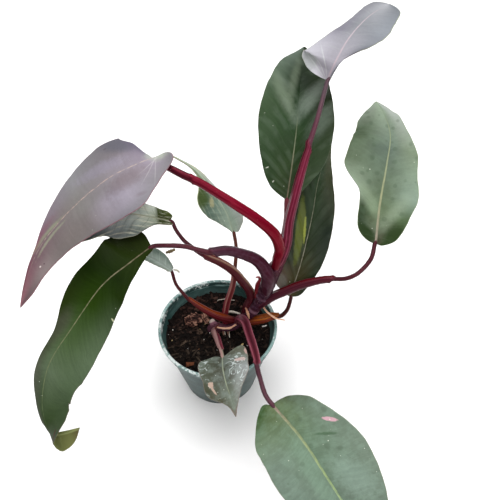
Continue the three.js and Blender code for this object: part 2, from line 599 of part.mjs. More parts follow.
const pieces = [
  { name: 'pot', make: () => pot(), look: PLASTIC },
  { name: 'stem', make: stem, look: BURGUNDY },
  ...Object.entries(PETIOLES).map(([name, route]) => (
    { name: `petiole_${name}`, make: (growth) => limb(route, growth), look: BURGUNDY }
  )),
  { name: 'spike', make: (growth) => limb(SPIKE, growth), look: BURGUNDY },
  ...Object.entries(LEAVES).map(([name, leaf]) => (
    { name: `leaf_${name}`, make: (growth) => blade(leaf, growth), look: { colour: leaf.colour, roughness: 0.5 } }
  )),
  ...Object.entries(SCALES).map(([name, route]) => (
    { name, make: (growth) => dryScale(route, growth), look: PAPERY }
  )),
  { name: 'soil', make: () => soil(), look: EARTH },
  { name: 'bark_lump', make: (growth) => lump(BARK_LUMP, growth), look: BARK },
];

function boxesMeet(one, other) {
  const [a, b] = [one.boundingBox(), other.boundingBox()];
  return [0, 1, 2].every((axis) => a.min[axis] <= b.max[axis] && b.min[axis] <= a.max[axis]);
}

const plant = new THREE.Group();
const seated = [];
for (const piece of pieces) {
  let solid = piece.make(0);
  for (const earlier of seated) {
    if (boxesMeet(solid, earlier)) {
      solid = solid.subtract(earlier);
    }
  }
  solid = largestPiece(solid);
  seated.push(piece.name === 'soil' || piece.name === 'pot' ? solid : piece.make(GAP));
  const material = new THREE.MeshStandardMaterial({
    color: piece.look.colour,
    roughness: piece.look.roughness,
    metalness: 0,
  });
  const mesh = new THREE.Mesh(geometryFromSolid(solid), material);
  mesh.name = piece.name;
  plant.add(mesh);
}

export default plant;
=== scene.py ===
"""Looks of the potted burgundy princess philodendron: eleven leaves on one creeping stem, in a nursery pot.

Sizes are millimetres in the fields and lists, and metres in the meshes. The origin is the centre of the pot's
flat bottom, +Z is up, and the plant leans out to the front, -Y.
"""

from __future__ import annotations

import logging
import math
import random
from collections.abc import Callable, Mapping, Sequence
from dataclasses import dataclass, field
from enum import Enum

import bmesh
import bpy
import numpy as np
from mathutils import Matrix, Vector, noise


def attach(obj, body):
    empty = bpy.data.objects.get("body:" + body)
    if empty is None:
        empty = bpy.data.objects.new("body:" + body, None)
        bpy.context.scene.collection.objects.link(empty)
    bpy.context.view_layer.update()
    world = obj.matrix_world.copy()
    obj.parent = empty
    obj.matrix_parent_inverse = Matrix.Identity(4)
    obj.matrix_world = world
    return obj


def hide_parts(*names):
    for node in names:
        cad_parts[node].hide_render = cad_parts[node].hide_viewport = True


MM = 0.001
BODY = "root"
WELD = 1e-7
SEED = 11

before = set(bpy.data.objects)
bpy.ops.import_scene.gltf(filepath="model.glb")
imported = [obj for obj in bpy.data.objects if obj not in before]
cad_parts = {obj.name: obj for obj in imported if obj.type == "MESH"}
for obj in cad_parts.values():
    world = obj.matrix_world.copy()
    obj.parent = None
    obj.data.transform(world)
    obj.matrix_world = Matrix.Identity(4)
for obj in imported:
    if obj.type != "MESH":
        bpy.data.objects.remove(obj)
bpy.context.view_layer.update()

Point = tuple[float, ...]
Ramp = tuple[tuple[float, int], ...]
Pair = tuple[float, float]
Array = np.ndarray
Material = bpy.types.Material
Mesh = bpy.types.Mesh
Node = bpy.types.Node
Socket = bpy.types.NodeSocket
Tree = bpy.types.NodeTree
log = logging.getLogger("plant")


class Side(Enum):
    """Half of a blade, seen from above with the tip ahead."""

    LEFT = -1
    RIGHT = 1


class Kind(Enum):
    """What a socket of a shared effect carries."""

    NUMBER = "NodeSocketFloat"
    PLACE = "NodeSocketVector"


def ink(code: int) -> tuple[float, float, float, float]:
    """Turns a colour written as on a paint card into the light values that shaders use.

    Args:
        code: The colour as 0xRRGGBB.

    Returns:
        Linear red, green, blue and an alpha of 1.
    """
    shares = [((code >> shift) & 255) / 255 for shift in (16, 8, 0)]
    linear = [s / 12.92 if s <= 0.04045 else ((s + 0.055) / 1.055) ** 2.4 for s in shares]
    return (*linear, 1.0)


def smooth(value: Array, low: float, high: float) -> Array:
    """Rises gently from 0 at low to 1 at high."""
    share = np.clip((value - low) / (high - low), 0, 1)
    return share * share * (3 - 2 * share)


def unit(vectors: Array) -> Array:
    """Scales vectors in the last axis to length 1."""
    return vectors / np.maximum(np.linalg.norm(vectors, axis=-1, keepdims=True), 1e-12)


class Route:
    """A smooth line through points, walked by share of length. Numbers past the third go along with it."""

    FINENESS = 900
    STEP = 1e-4

    def __init__(self, points: Sequence[Sequence[float]]) -> None:
        """Lays the line.

        Args:
            points: Places from start to end, each with the same count of numbers.
        """
        self.points = np.array(points, float)
        ends = (2 * self.points[:1] - self.points[1:2], 2 * self.points[-1:] - self.points[-2:-1])
        self._padded = np.vstack([ends[0], self.points, ends[1]])
        self._turns = np.linspace(0, 1, self.FINENESS)
        steps = np.diff(self._raw(self._turns)[:, :3], axis=0)
        walked = np.concatenate([[0], np.cumsum(np.linalg.norm(steps, axis=1))])
        self.length = float(walked[-1])
        self._walked = walked / walked[-1]

    def _raw(self, turn: Array) -> Array:
        """Evaluates the spline.

        Args:
            turn: Shares of its points, rather than of its length.

        Returns:
            The numbers there.
        """
        span = np.clip(turn, 0, 1) * (len(self.points) - 1)
        knot = np.minimum(span.astype(int), len(self.points) - 2)
        share = (span - knot)[..., None]
        before, here, ahead, beyond = (self._padded[knot + step] for step in range(4))
        leave, arrive = (ahead - before) / 2, (beyond - here) / 2
        return (
            here
            + leave * share
            + (3 * (ahead - here) - 2 * leave - arrive) * share**2
            + (2 * (here - ahead) + leave + arrive) * share**3
        )

    def at(self, share: Array | float) -> Array:
        """Gives the numbers at shares of the length."""
        return self._raw(np.interp(np.asarray(share, float), self._walked, self._turns))

    def heading(self, share: Array | float) -> Array:
        """Gives the unit direction of travel at shares of the length."""
        turn = np.interp(np.asarray(share, float), self._walked, self._turns)
        return unit((self._raw(turn + self.STEP) - self._raw(np.clip(turn - self.STEP, 0, 1)))[..., :3])

    def share_of(self, index: int) -> float:
        """Gives the share of the length at which the line passes one of its points."""
        return float(np.interp(index / (len(self.points) - 1), self._turns, self._walked))


def net_mesh(name: str, places: Array, layers: Mapping[str, Array]) -> Mesh:
    """Bends a grid over a net of places and welds what meets, so a wrapped net closes into a solid.

    Args:
        name: Name of the mesh.
        places: Millimetre places, rows by columns by 3.
        layers: Vectors to keep at each vertex, each rows by columns by 3.

    Returns:
        A smooth, closed mesh in metres with one attribute per layer.
    """
    rows, columns = places.shape[:2]
    net = bmesh.new()
    bmesh.ops.create_grid(net, x_segments=columns - 1, y_segments=rows - 1, size=1)
    kept = {key: net.verts.layers.float_vector.new(key) for key in layers}
    for vertex in net.verts:
        column = round((vertex.co.x + 1) / 2 * (columns - 1))
        row = round((vertex.co.y + 1) / 2 * (rows - 1))
        for key, layer in kept.items():
            vertex[layer] = layers[key][row, column]
        vertex.co = places[row, column] * MM
    return finished(net, name)


def there_and_back(upper: Array, lower: Array) -> Array:
    """Joins rows over a strip's upper side to the same rows back along its lower side."""
    return np.concatenate([upper, lower[:, -2::-1]], axis=1)


def finished(net: bmesh.types.BMesh, name: str, smooth_faces: bool = True) -> Mesh:
    """Welds, turns the faces outwards and stores a built shape.

    Args:
        net: The shape; it is freed.
        name: Name of the mesh.
        smooth_faces: Whether the faces shade smoothly.

    Returns:
        The mesh.
    """
    bmesh.ops.remove_doubles(net, verts=net.verts, dist=WELD)
    bmesh.ops.dissolve_degenerate(net, edges=net.edges, dist=WELD)
    bmesh.ops.recalc_face_normals(net, faces=net.faces)
    for face in net.faces:
        face.smooth = smooth_faces
    mesh = bpy.data.meshes.new(name)
    net.to_mesh(mesh)
    net.free()
    return mesh


def add_piece(mesh: Mesh, material: Material, slot: str, *nodes: str) -> None:
    """Adds a finished mesh to the object.

    Args:
        mesh: The mesh, already in its place.
        material: Its finish.
        slot: Name of its material slot; not used.
        nodes: CAD nodes that it stands for.
    """
    mesh.materials.append(material)
    piece = bpy.data.objects.new(mesh.name, mesh)
    bpy.context.scene.collection.objects.link(piece)
    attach(piece, BODY)
    if nodes:
        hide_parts(*nodes)
    log.info("%s: %d faces", piece.name, len(mesh.polygons))


class Graph:
    """One node tree, with a short call for each kind of node in it, and the colour painted in it so far."""

    colour: object = None

    def __init__(self, tree: Tree) -> None:
        """Keeps the tree that nodes are added to."""
        self.tree = tree

    @classmethod
    def of_material(cls, name: str) -> tuple[Graph, Material, Node]:
        """Starts a material.

        Args:
            name: Its name.

        Returns:
            Its graph, the material, and its shader, joined to the output.
        """
        material = bpy.data.materials.new(name)
        material.use_nodes = True
        material.node_tree.nodes.clear()
        graph = cls(material.node_tree)
        shader = graph.node("ShaderNodeBsdfPrincipled")
        graph.node("ShaderNodeOutputMaterial", {"Surface": shader.outputs["BSDF"]})
        return graph, material, shader

    def node(self, kind: str, inputs: Mapping[str | int, object] | None = None, **settings: object) -> Node:
        """Adds a node.

        Args:
            kind: Blender's name for the kind of node.
            inputs: Value or socket for each of its inputs.
            settings: Its properties.

        Returns:
            The node.
        """
        made = self.tree.nodes.new(kind)
        for key, value in settings.items():
            setattr(made, key, value)
        for key, value in (inputs or {}).items():
            self.feed(made.inputs[key], value)
        return made

    def feed(self, socket: Socket, value: object) -> None:
        """Links an input to another node's output, or sets it to a value.

        Args:
            socket: The input.
            value: The output, or the value.
        """
        if isinstance(value, Socket):
            self.tree.links.new(value, socket)
        else:
            socket.default_value = value

    def math(self, operation: str, *values: object) -> Socket:
        """Works out one number from up to three."""
        return self.node("ShaderNodeMath", dict(enumerate(values)), operation=operation).outputs[0]

    def times(self, one: object, other: object) -> Socket:
        """Multiplies two numbers."""
        return self.math("MULTIPLY", one, other)

    def times_plus(self, one: object, other: object, more: object) -> Socket:
        """Multiplies two numbers and adds a third."""
        return self.math("MULTIPLY_ADD", one, other, more)

    def minus(self, one: object, other: object) -> Socket:
        """Takes one number from another."""
        return self.math("SUBTRACT", one, other)

    def absolute(self, value: object) -> Socket:
        """Drops a number's sign."""
        return self.math("ABSOLUTE", value)

    def span(self, value: object, low: object, high: object, start: float = 0, end: float = 1) -> Socket:
        """Maps low to start and high to end with a gentle rise, and holds both outside."""
        inputs = {0: value, 1: low, 2: high, 3: start, 4: end}
        return self.node("ShaderNodeMapRange", inputs, interpolation_type="SMOOTHSTEP").outputs[0]

    def mix(self, share: object, one: object, other: object, blend: str = "MIX") -> Socket:
        """Blends two colours."""
        inputs = {0: share, 6: one, 7: other}
        return self.node("ShaderNodeMix", inputs, data_type="RGBA", blend_type=blend).outputs[2]

    def shade(self, level: object) -> None:
        """Multiplies the colour painted so far."""
        self.colour = self.mix(1, self.colour, level, "MULTIPLY")

    def tint(self, mask: object, code: int, strength: float = 1) -> None:
        """Paints the colour of a code over that so far, as strong as the mask times the strength."""
        share = mask if strength == 1 else self.times(mask, strength)
        self.colour = self.mix(share, self.colour, ink(code))

    def ramp(self, value: object, stops: Ramp) -> Socket:
        """Reads a colour from a row of stops.

        Args:
            value: Where along the row to read.
            stops: Places from 0 to 1, each with its colour.

        Returns:
            The colour.
        """
        made = self.node("ShaderNodeValToRGB", {0: value})
        elements = made.color_ramp.elements
        for place, code in stops[1:-1]:
            elements.new(place).color = ink(code)
        elements[0].position, elements[0].color = stops[0][0], ink(stops[0][1])
        elements[-1].position, elements[-1].color = stops[-1][0], ink(stops[-1][1])
        return made.outputs[0]

    def noise(self, place: Socket, scale: float, detail: float = 3, rough: float = 0.55) -> Socket:
        """Gives cloudy values around a half."""
        inputs = {"Vector": place, "Scale": scale, "Detail": detail, "Roughness": rough}
        return self.node("ShaderNodeTexNoise", inputs).outputs[0]

    def stretch(self, place: Socket, x: float, y: float, z: float) -> Socket:
        """Scales a place along its axes."""
        return self.node("ShaderNodeVectorMath", {0: place, 1: (x, y, z)}, operation="MULTIPLY").outputs[0]

    def kept(self, name: str) -> Socket:
        """Reads a vector kept at the vertices."""
        return self.node("ShaderNodeAttribute", attribute_name=name).outputs["Vector"]

    def parts(self, place: Socket) -> tuple[Socket, Socket, Socket]:
        """Splits a vector."""
        return tuple(self.node("ShaderNodeSeparateXYZ", {0: place}).outputs)

    def joined(self, x: object, y: object, z: object) -> Socket:
        """Joins three numbers into a vector."""
        return self.node("ShaderNodeCombineXYZ", {0: x, 1: y, 2: z}).outputs[0]

    def use(self, effect: Effect, **inputs: object) -> Mapping[str | int, Socket]:
        """Places a shared effect, with a value or a socket for each input, and gives its outputs."""
        return self.node("ShaderNodeGroup", inputs, node_tree=effect.tree()).outputs

    def dress(self, shader: Node, rough: object, gloss: float) -> None:
        """Gives a shader the colour painted so far, its roughness and how strongly it mirrors."""
        for key, value in ("Base Color", self.colour), ("Roughness", rough), ("Specular IOR Level", gloss):
            self.feed(shader.inputs[key], value)

    def relief(self, shader: Node, height: Socket, strength: float, depth: float) -> None:
        """Bumps a shader's surface; the depth is the millimetres that a height of 1 stands for."""
        bump = self.node("ShaderNodeBump", {"Height": height, "Strength": strength, "Distance": depth * MM})
        self.feed(shader.inputs["Normal"], bump.outputs[0])


@dataclass
class Effect:
    """A pattern that several finishes share, as one node group that is built when it is first asked for."""

    places: Sequence[str]
    numbers: Sequence[str]
    gives: Sequence[str] = ("Mask",)
    _tree: Tree | None = None

    def __call__(self, draw: Callable[..., Sequence[Socket]]) -> Effect:
        """Takes the function that adds the nodes, given a graph and the inputs, and returns the outputs."""
        self.draw = draw
        return self

    def tree(self) -> Tree:
        """Gives the group, whose outputs are all numbers.

        Returns:
            The group.
        """
        if self._tree is None:
            self._tree = bpy.data.node_groups.new(self.draw.__name__, "ShaderNodeTree")
            inputs = {**dict.fromkeys(self.places, Kind.PLACE), **dict.fromkeys(self.numbers, Kind.NUMBER)}
            for key, kind in inputs.items():
                self._tree.interface.new_socket(name=key, in_out="INPUT", socket_type=kind.value)
            for key in self.gives:
                self._tree.interface.new_socket(name=key, in_out="OUTPUT", socket_type=Kind.NUMBER.value)
            graph = Graph(self._tree)
            source = graph.node("NodeGroupInput")
            results = self.draw(graph, *(source.outputs[key] for key in inputs))
            graph.node("NodeGroupOutput", dict(enumerate(results)))
        return self._tree


@Effect(["Place"], ["Phase", "Column"], ["Line", "Fine", "Height", "PaintedSheen"])
def side_veins(graph: Graph, place: Socket, phase: Socket, column: Socket) -> Sequence[Socket]:
    """Side veins of a blade: main lines, fine strands between them, a height, and patches of painted sheen
    beside.

    Args:
        graph: The group's graph.
        place: Place on the flat blade.
        phase: Count of side veins up to there.
        column: Share of the way to the edge, with its sign.

    Returns:
        The main lines, the strands, the height and the painted sheen.
    """
    wander = graph.times_plus(graph.noise(place, 0.06), 0.5, phase)
    off = graph.absolute(graph.minus(graph.math("FRACT", wander), 0.5))
    spread = graph.absolute(column)
    fade = graph.span(spread, 1, 0.45)
    line = graph.times(graph.span(off, 0.06, 0), fade)
    drawn = graph.joined(graph.times(wander, 7), graph.times(column, 1.3), 0)
    fine = graph.noise(drawn, 1, 4, 0.65)
    sunk = graph.minus(0.6, graph.times(line, 0.5))
    height = graph.times_plus(fine, 0.5, sunk)
    # Painted sheen: glossy-looking panels between the side veins, in broad clouds.
    panel = graph.span(graph.math("SINE", graph.times(wander, 2 * math.pi)), -0.6, 1)
    painted_sheen = graph.times(panel, graph.span(graph.noise(place, 0.045, 3), 0.42, 0.6))
    return line, fine, height, painted_sheen


@Effect(["Place", "Centre", "Half"], ["Turn", "Ragged", "Soft"])
def blotch(
    graph: Graph, place: Socket, centre: Socket, half: Socket, turn: Socket, ragged: Socket, soft: Socket
) -> Sequence[Socket]:
    """A soft or ragged oval patch at a place on a flat surface.

    Args:
        graph: The group's graph.
        place: Place on the surface.
        centre: Middle of the oval.
        half: Its half sizes.
        turn: Its turn in radians.
        ragged: How uneven its edge is.
        soft: How wide its edge fades.

    Returns:
        The mask.
    """
    moved = graph.node("ShaderNodeVectorMath", {0: place, 1: centre}, operation="SUBTRACT").outputs[0]
    turned = graph.node("ShaderNodeVectorRotate", {"Vector": moved, "Angle": turn}, rotation_type="Z_AXIS")
    sized = graph.node("ShaderNodeVectorMath", {0: turned.outputs[0], 1: half}, operation="DIVIDE").outputs[0]
    flat = graph.node("ShaderNodeVectorMath", {0: sized, 1: (1, 1, 0)}, operation="MULTIPLY").outputs[0]
    far = graph.node("ShaderNodeVectorMath", {0: flat}, operation="LENGTH").outputs["Value"]
    rough = graph.minus(graph.noise(place, 0.45, 4, 0.6), 0.5)
    edge = graph.times_plus(rough, ragged, far)
    return (graph.span(edge, graph.math("ADD", 1, soft), graph.minus(1, soft)),)


@Effect(["Place"], ["Scale", "Amount", "Size"])
def flecks(graph: Graph, place: Socket, scale: Socket, amount: Socket, size: Socket) -> Sequence[Socket]:
    """Small scattered round specks.

    Args:
        graph: The group's graph.
        place: Place on the surface.
        scale: Cells across a unit of length.
        amount: Share of cells with a speck.
        size: Size of the specks.

    Returns:
        The mask.
    """
    cells = graph.node("ShaderNodeTexVoronoi", {"Vector": place, "Scale": scale})
    chance, share, _ = graph.parts(cells.outputs["Color"])
    wanted = graph.math("LESS_THAN", chance, amount)
    radius = graph.times(graph.times_plus(share, 0.16, 0.06), size)
    dot = graph.span(cells.outputs["Distance"], radius, graph.times(radius, 0.5))
    return (graph.times(wanted, dot),)


@Effect(["Place"], ["Scale", "Width"])
def scribble(graph: Graph, place: Socket, scale: Socket, width: Socket) -> Sequence[Socket]:
    """Thin looping lines, as leaf miners leave.

    Args:
        graph: The group's graph.
        place: Place on the surface.
        scale: How close the loops lie.
        width: Width of the lines.

    Returns:
        The mask.
    """
    warp = graph.node("ShaderNodeTexNoise", {"Vector": place, "Scale": 0.3, "Detail": 2.0}).outputs["Color"]
    bent = graph.node("ShaderNodeVectorMath", {0: warp, 1: (3, 3, 0), 2: place}, operation="MULTIPLY_ADD")
    hills = graph.node("ShaderNodeTexNoise", {"Vector": bent.outputs[0], "Scale": scale, "Detail": 0.0})
    level = graph.math("FRACT", graph.times(hills.outputs["Fac"], 4))
    off = graph.absolute(graph.minus(level, 0.5))
    broken = graph.span(graph.noise(place, 0.25, 2), 0.42, 0.5)
    return (graph.times(graph.span(off, width, graph.times(width, 0.3)), broken),)


@Effect(["Place"], ["Scale", "Amount"], ["Level", "Mask"])
def mottle(graph: Graph, place: Socket, scale: Socket, amount: Socket) -> Sequence[Socket]:
    """Cloudy brightness around 1, from broad to small patches.

    Args:
        graph: The group's graph.
        place: Place on the surface.
        scale: How small the clouds are.
        amount: How far the brightness swings.

    Returns:
        The brightness, and a mask of the bright clouds.
    """
    cloud = graph.noise(place, 1, 5, 0.6)
    graph.feed(cloud.node.inputs["Scale"], scale)
    swing = graph.times(graph.minus(cloud, 0.5), 2)
    return graph.times_plus(swing, amount, 1), graph.span(cloud, 0.4, 0.62)


@Effect(["Place"], ["Amount"])
def crust(graph: Graph, place: Socket, amount: Socket) -> Sequence[Socket]:
    """Dried mineral scale: ragged spots and smears, thick where the amount is high.

    Args:
        graph: The group's graph.
        place: Place on the surface.
        amount: How much of it is there.

    Returns:
        The mask.
    """
    broad = graph.noise(place, 70, 6, 0.65)
    grit = graph.noise(place, 420, 4, 0.7)
    level = graph.times_plus(grit, 0.5, graph.times(broad, 0.6))
    edge = graph.minus(1, amount)
    return (graph.span(level, edge, graph.math("ADD", edge, 0.09)),)


@dataclass(frozen=True)
class Patch:
    """A mark or a patch of painted sheen on a blade, in flat millimetres: along the midrib, and away from it,
    positive to the right.
    """

    at: Pair
    half: Pair
    colour: int
    strength: float = 0.8
    turn: float = 0
    ragged: float = 0.4
    soft: float = 0.4


@dataclass(frozen=True)
class LeafFinish:
    """Leathery skin of a blade: ramps from base to tip beside the midrib and along both edges, then marks and
    painted sheen.
    """

    core: Ramp
    right: Ramp
    left: Ramp
    rib: Ramp
    rib_width: Pair = (0.7, 0.4)
    rib_end: float = 0.9
    rib_breaks: float = 0.25
    vein: int = 0x9AA08C
    vein_strength: float = 0.12
    margin: int = 0x8E8670
    margin_width: float = 0.8
    under: Ramp = ((0, 0x4A2A2A), (1, 0x5A3438))
    under_vein: int = 0x7A5A50
    patches: tuple[Patch, ...] = ()
    scribbles: tuple[Patch, ...] = ()
    specks: float = 0.03
    speck: int = 0xC9CFBE
    speck_scale: float = 0.33
    spots: float = 0
    spot: int = 0x3C4A3A
    streaks: float = 0
    streak: int = 0xC9CFB4
    painted_sheen: int = 0x8E9A8C
    painted_sheen_strength: float = 0
    blot: int = 0x9AB0A4
    blots: float = 0
    blot_scale: float = 0.11
    strands: float = 0.16
    mottle: float = 0.12
    gloss: float = 0.12
    relief: float = 0.3
    roughness: float = 0.42

    def material(self, name: str, length: float) -> Material:
        """Builds the skin.

        Args:
            name: Its name.
            length: Length of the midrib in millimetres.

        Returns:
            The material.
        """
        graph, material, shader = Graph.of_material(name)
        flat = graph.kept("leaf_flat")
        x, y, side = graph.parts(flat)
        phase, column, margin = graph.parts(graph.kept("leaf_net"))
        along = graph.math("DIVIDE", x, length)
        spread = graph.absolute(column)
        half = graph.span(column, -0.05, 0.05)
        flank = graph.mix(half, graph.ramp(along, self.left), graph.ramp(along, self.right))
        graph.colour = graph.mix(graph.span(spread, 0.1, 0.9), graph.ramp(along, self.core), flank)
        cloud = graph.use(mottle, Place=flat, Scale=0.05, Amount=self.mottle)
        grain = graph.use(mottle, Place=flat, Scale=0.6, Amount=0.1)
        veins = graph.use(side_veins, Phase=phase, Column=column, Place=flat)
        if self.streaks:
            drawn = graph.stretch(flat, 0.05, 0.55, 0)
            streak = graph.span(graph.noise(drawn, 1, 4, 0.6), 0.5, 0.66)
            graph.tint(streak, self.streak, self.streaks)
        if self.blots:
            blot = graph.use(mottle, Place=flat, Scale=self.blot_scale, Amount=0)["Mask"]
            graph.tint(blot, self.blot, self.blots)
        # Patches: real marks, and on some blades painted sheen.
        for patch in self.patches:
            graph.tint(self._mask(graph, flat, patch), patch.colour)
        graph.shade(cloud["Level"])
        graph.shade(grain["Level"])
        graph.tint(veins["Line"], self.vein, self.vein_strength)
        strand = graph.span(veins["Fine"], 0.3, 0.7, 1 - self.strands / 2, 1 + self.strands / 2)
        graph.shade(strand)
        # Sheen painted into the colour, in panels between the side veins.
        if self.painted_sheen_strength:
            painted_sheen = graph.times(veins["PaintedSheen"], self.painted_sheen_strength)
            graph.tint(painted_sheen, self.painted_sheen)
        if self.scribbles:
            lines = graph.use(scribble, Place=flat, Scale=0.17, Width=0.16)[0]
            for region in self.scribbles:
                share = graph.times(lines, self._mask(graph, flat, region))
                graph.tint(share, region.colour)
        if self.spots:
            rounds = graph.use(flecks, Place=flat, Scale=0.17, Amount=self.spots, Size=2.4)[0]
            graph.tint(rounds, self.spot, 0.3)
        dots = graph.use(flecks, Place=flat, Scale=self.speck_scale, Amount=self.specks, Size=1)[0]
        graph.tint(dots, self.speck, 0.8)
        off = graph.absolute(y)
        width = graph.span(along, 0, 1, self.rib_width[0], self.rib_width[1])
        rib = graph.span(off, width, graph.times(width, 0.45))
        rib = graph.times(rib, graph.span(along, self.rib_end, self.rib_end - 0.25))
        gaps = graph.noise(graph.stretch(flat, 0.22, 0.6, 0), 1, 3)
        whole = graph.span(gaps, 0.42, 0.56, 1 - self.rib_breaks, 1)
        rib = graph.times(rib, whole)
        graph.colour = graph.mix(rib, graph.colour, graph.ramp(along, self.rib))
        border = graph.span(margin, self.margin_width, self.margin_width * 0.35)
        graph.tint(border, self.margin, 0.8)
        above, graph.colour = graph.colour, graph.ramp(along, self.under)
        graph.shade(cloud["Level"])
        graph.tint(veins["Line"], self.under_vein, 0.5)
        graph.tint(graph.span(off, 1.6, 0.8), self.under_vein)
        graph.colour = graph.mix(graph.span(side, -0.1, 0.1), graph.colour, above)
        rough = graph.times_plus(graph.minus(cloud["Mask"], 0.5), 0.08, self.roughness)
        graph.dress(shader, rough, self.gloss)
        pores = graph.noise(flat, 2.5, 2)
        height = graph.times_plus(pores, 0.12, veins["Height"])
        graph.relief(shader, height, self.relief, 0.4)
        return material

    @staticmethod
    def _mask(graph: Graph, flat: Socket, patch: Patch) -> Socket:
        """Gives the mask of one mark on the flat blade, as strong as the mark."""
        mark = graph.use(
            blotch, Place=flat, Centre=(*patch.at, 0), Half=(*patch.half, 1),
            Turn=-math.radians(patch.turn), Ragged=patch.ragged, Soft=patch.soft,
        )
        return graph.times(mark["Mask"], patch.strength)


@dataclass(frozen=True)
class SkinFinish:
    """Skin of a stem or stalk: ramps for the bare stalk and for its sheath, from the stem outwards."""

    bare: Ramp
    sheath: Ramp = ((0, 0x401D28), (1, 0x401D28))
    channel: int = 0x5A1420
    channel_strength: float = 0.5
    lip: int = 0x9A5A5E
    lip_strength: float = 0.4
    stripe: int = 0x8A3A4C
    stripes: float = 0.15
    stripe_count: int = 9
    speck: int = 0xB08A86
    specks: float = 0.02
    flank: int = 0x8E6E6A
    flank_strength: float = 0
    bloom: int = 0x6A5C6E
    bloom_strength: float = 0
    shine: int = 0xFFA8B8
    gloss: float = 0.14
    roughness: float = 0.34
    marks: tuple[tuple[float, int], ...] = ()

    def material(self, name: str, length: float) -> Material:
        """Builds the skin.

        Args:
            name: Its name.
            length: Length of the limb in millimetres.

        Returns:
            The material.
        """
        graph, material, shader = Graph.of_material(name)
        bar = graph.kept("limb_bar")
        cosine, sine, reach = graph.parts(bar)
        sheath, groove, lip = graph.parts(graph.kept("limb_sheath"))
        along = graph.math("DIVIDE", reach, length)
        graph.colour = graph.mix(sheath, graph.ramp(along, self.bare), graph.ramp(along, self.sheath))
        turn = graph.math("ARCTAN2", sine, cosine)
        drawn = graph.stretch(bar, 2.4, 2.4, 0.035)
        fibre = graph.noise(drawn, 1.6, 4, 0.6)
        wave = graph.math("SINE", graph.times_plus(fibre, 3, graph.times(turn, self.stripe_count)))
        stripe = graph.times(graph.span(wave, 0.2, 0.9), self.stripes)
        graph.tint(graph.times(stripe, sheath), self.stripe)
        graph.tint(groove, self.channel, self.channel_strength)
        graph.tint(lip, self.lip, self.lip_strength)
        if self.flank_strength:
            graph.tint(graph.span(sine, 0, 0.5, 0, self.flank_strength), self.flank)
        for place, code in self.marks:
            off = graph.absolute(graph.minus(along, place))
            graph.tint(graph.span(off, 0.02, 0), code)
        cloud = graph.use(mottle, Place=graph.stretch(bar, 1.5, 1.5, 0.06), Scale=1, Amount=0.28)
        graph.shade(cloud["Level"])
        if self.bloom_strength:
            dust = graph.use(mottle, Place=graph.stretch(bar, 1, 1, 0.25), Scale=1.2, Amount=0)
            graph.tint(dust["Mask"], self.bloom, self.bloom_strength)
        dots = graph.use(flecks, Place=graph.stretch(bar, 2, 2, 0.8), Scale=1.3, Amount=self.specks, Size=1)
        graph.tint(dots[0], self.speck, 0.7)
        rough = graph.times_plus(graph.minus(fibre, 0.5), 0.3, self.roughness)
        graph.dress(shader, rough, self.gloss)
        shader.inputs["Specular Tint"].default_value = ink(self.shine)
        shader.inputs["Coat Weight"].default_value = 0.04
        shader.inputs["Coat Roughness"].default_value = 0.2
        graph.relief(shader, fibre, 0.35, 0.5)
        return material


@dataclass(frozen=True)
class ScaleFinish:
    """Dry papery skin of an old leaf scale."""

    face: Ramp = ((0, 0x8A6048), (0.5, 0xC09270), (1, 0xD8A890))
    edge: int = 0xE8C4A8
    strand: int = 0x7A4E38

    def material(self, name: str) -> Material:
        """Builds the skin.

        Args:
            name: Its name.

        Returns:
            The material.
        """
        graph, material, shader = Graph.of_material(name)
        along, across, _ = graph.parts(graph.kept("scale_place"))
        drawn = graph.joined(graph.times(along, 1.8), graph.times(across, 4), 0)
        strands = graph.noise(drawn, 1.6, 4)
        graph.colour = graph.ramp(along, self.face)
        graph.tint(graph.span(strands, 0.4, 0.66, 0, 0.5), self.strand)
        graph.tint(graph.span(graph.absolute(across), 0.6, 1, 0, 0.8), self.edge)
        graph.dress(shader, 0.75, 0.2)
        graph.relief(shader, strands, 0.6, 0.4)
        return material


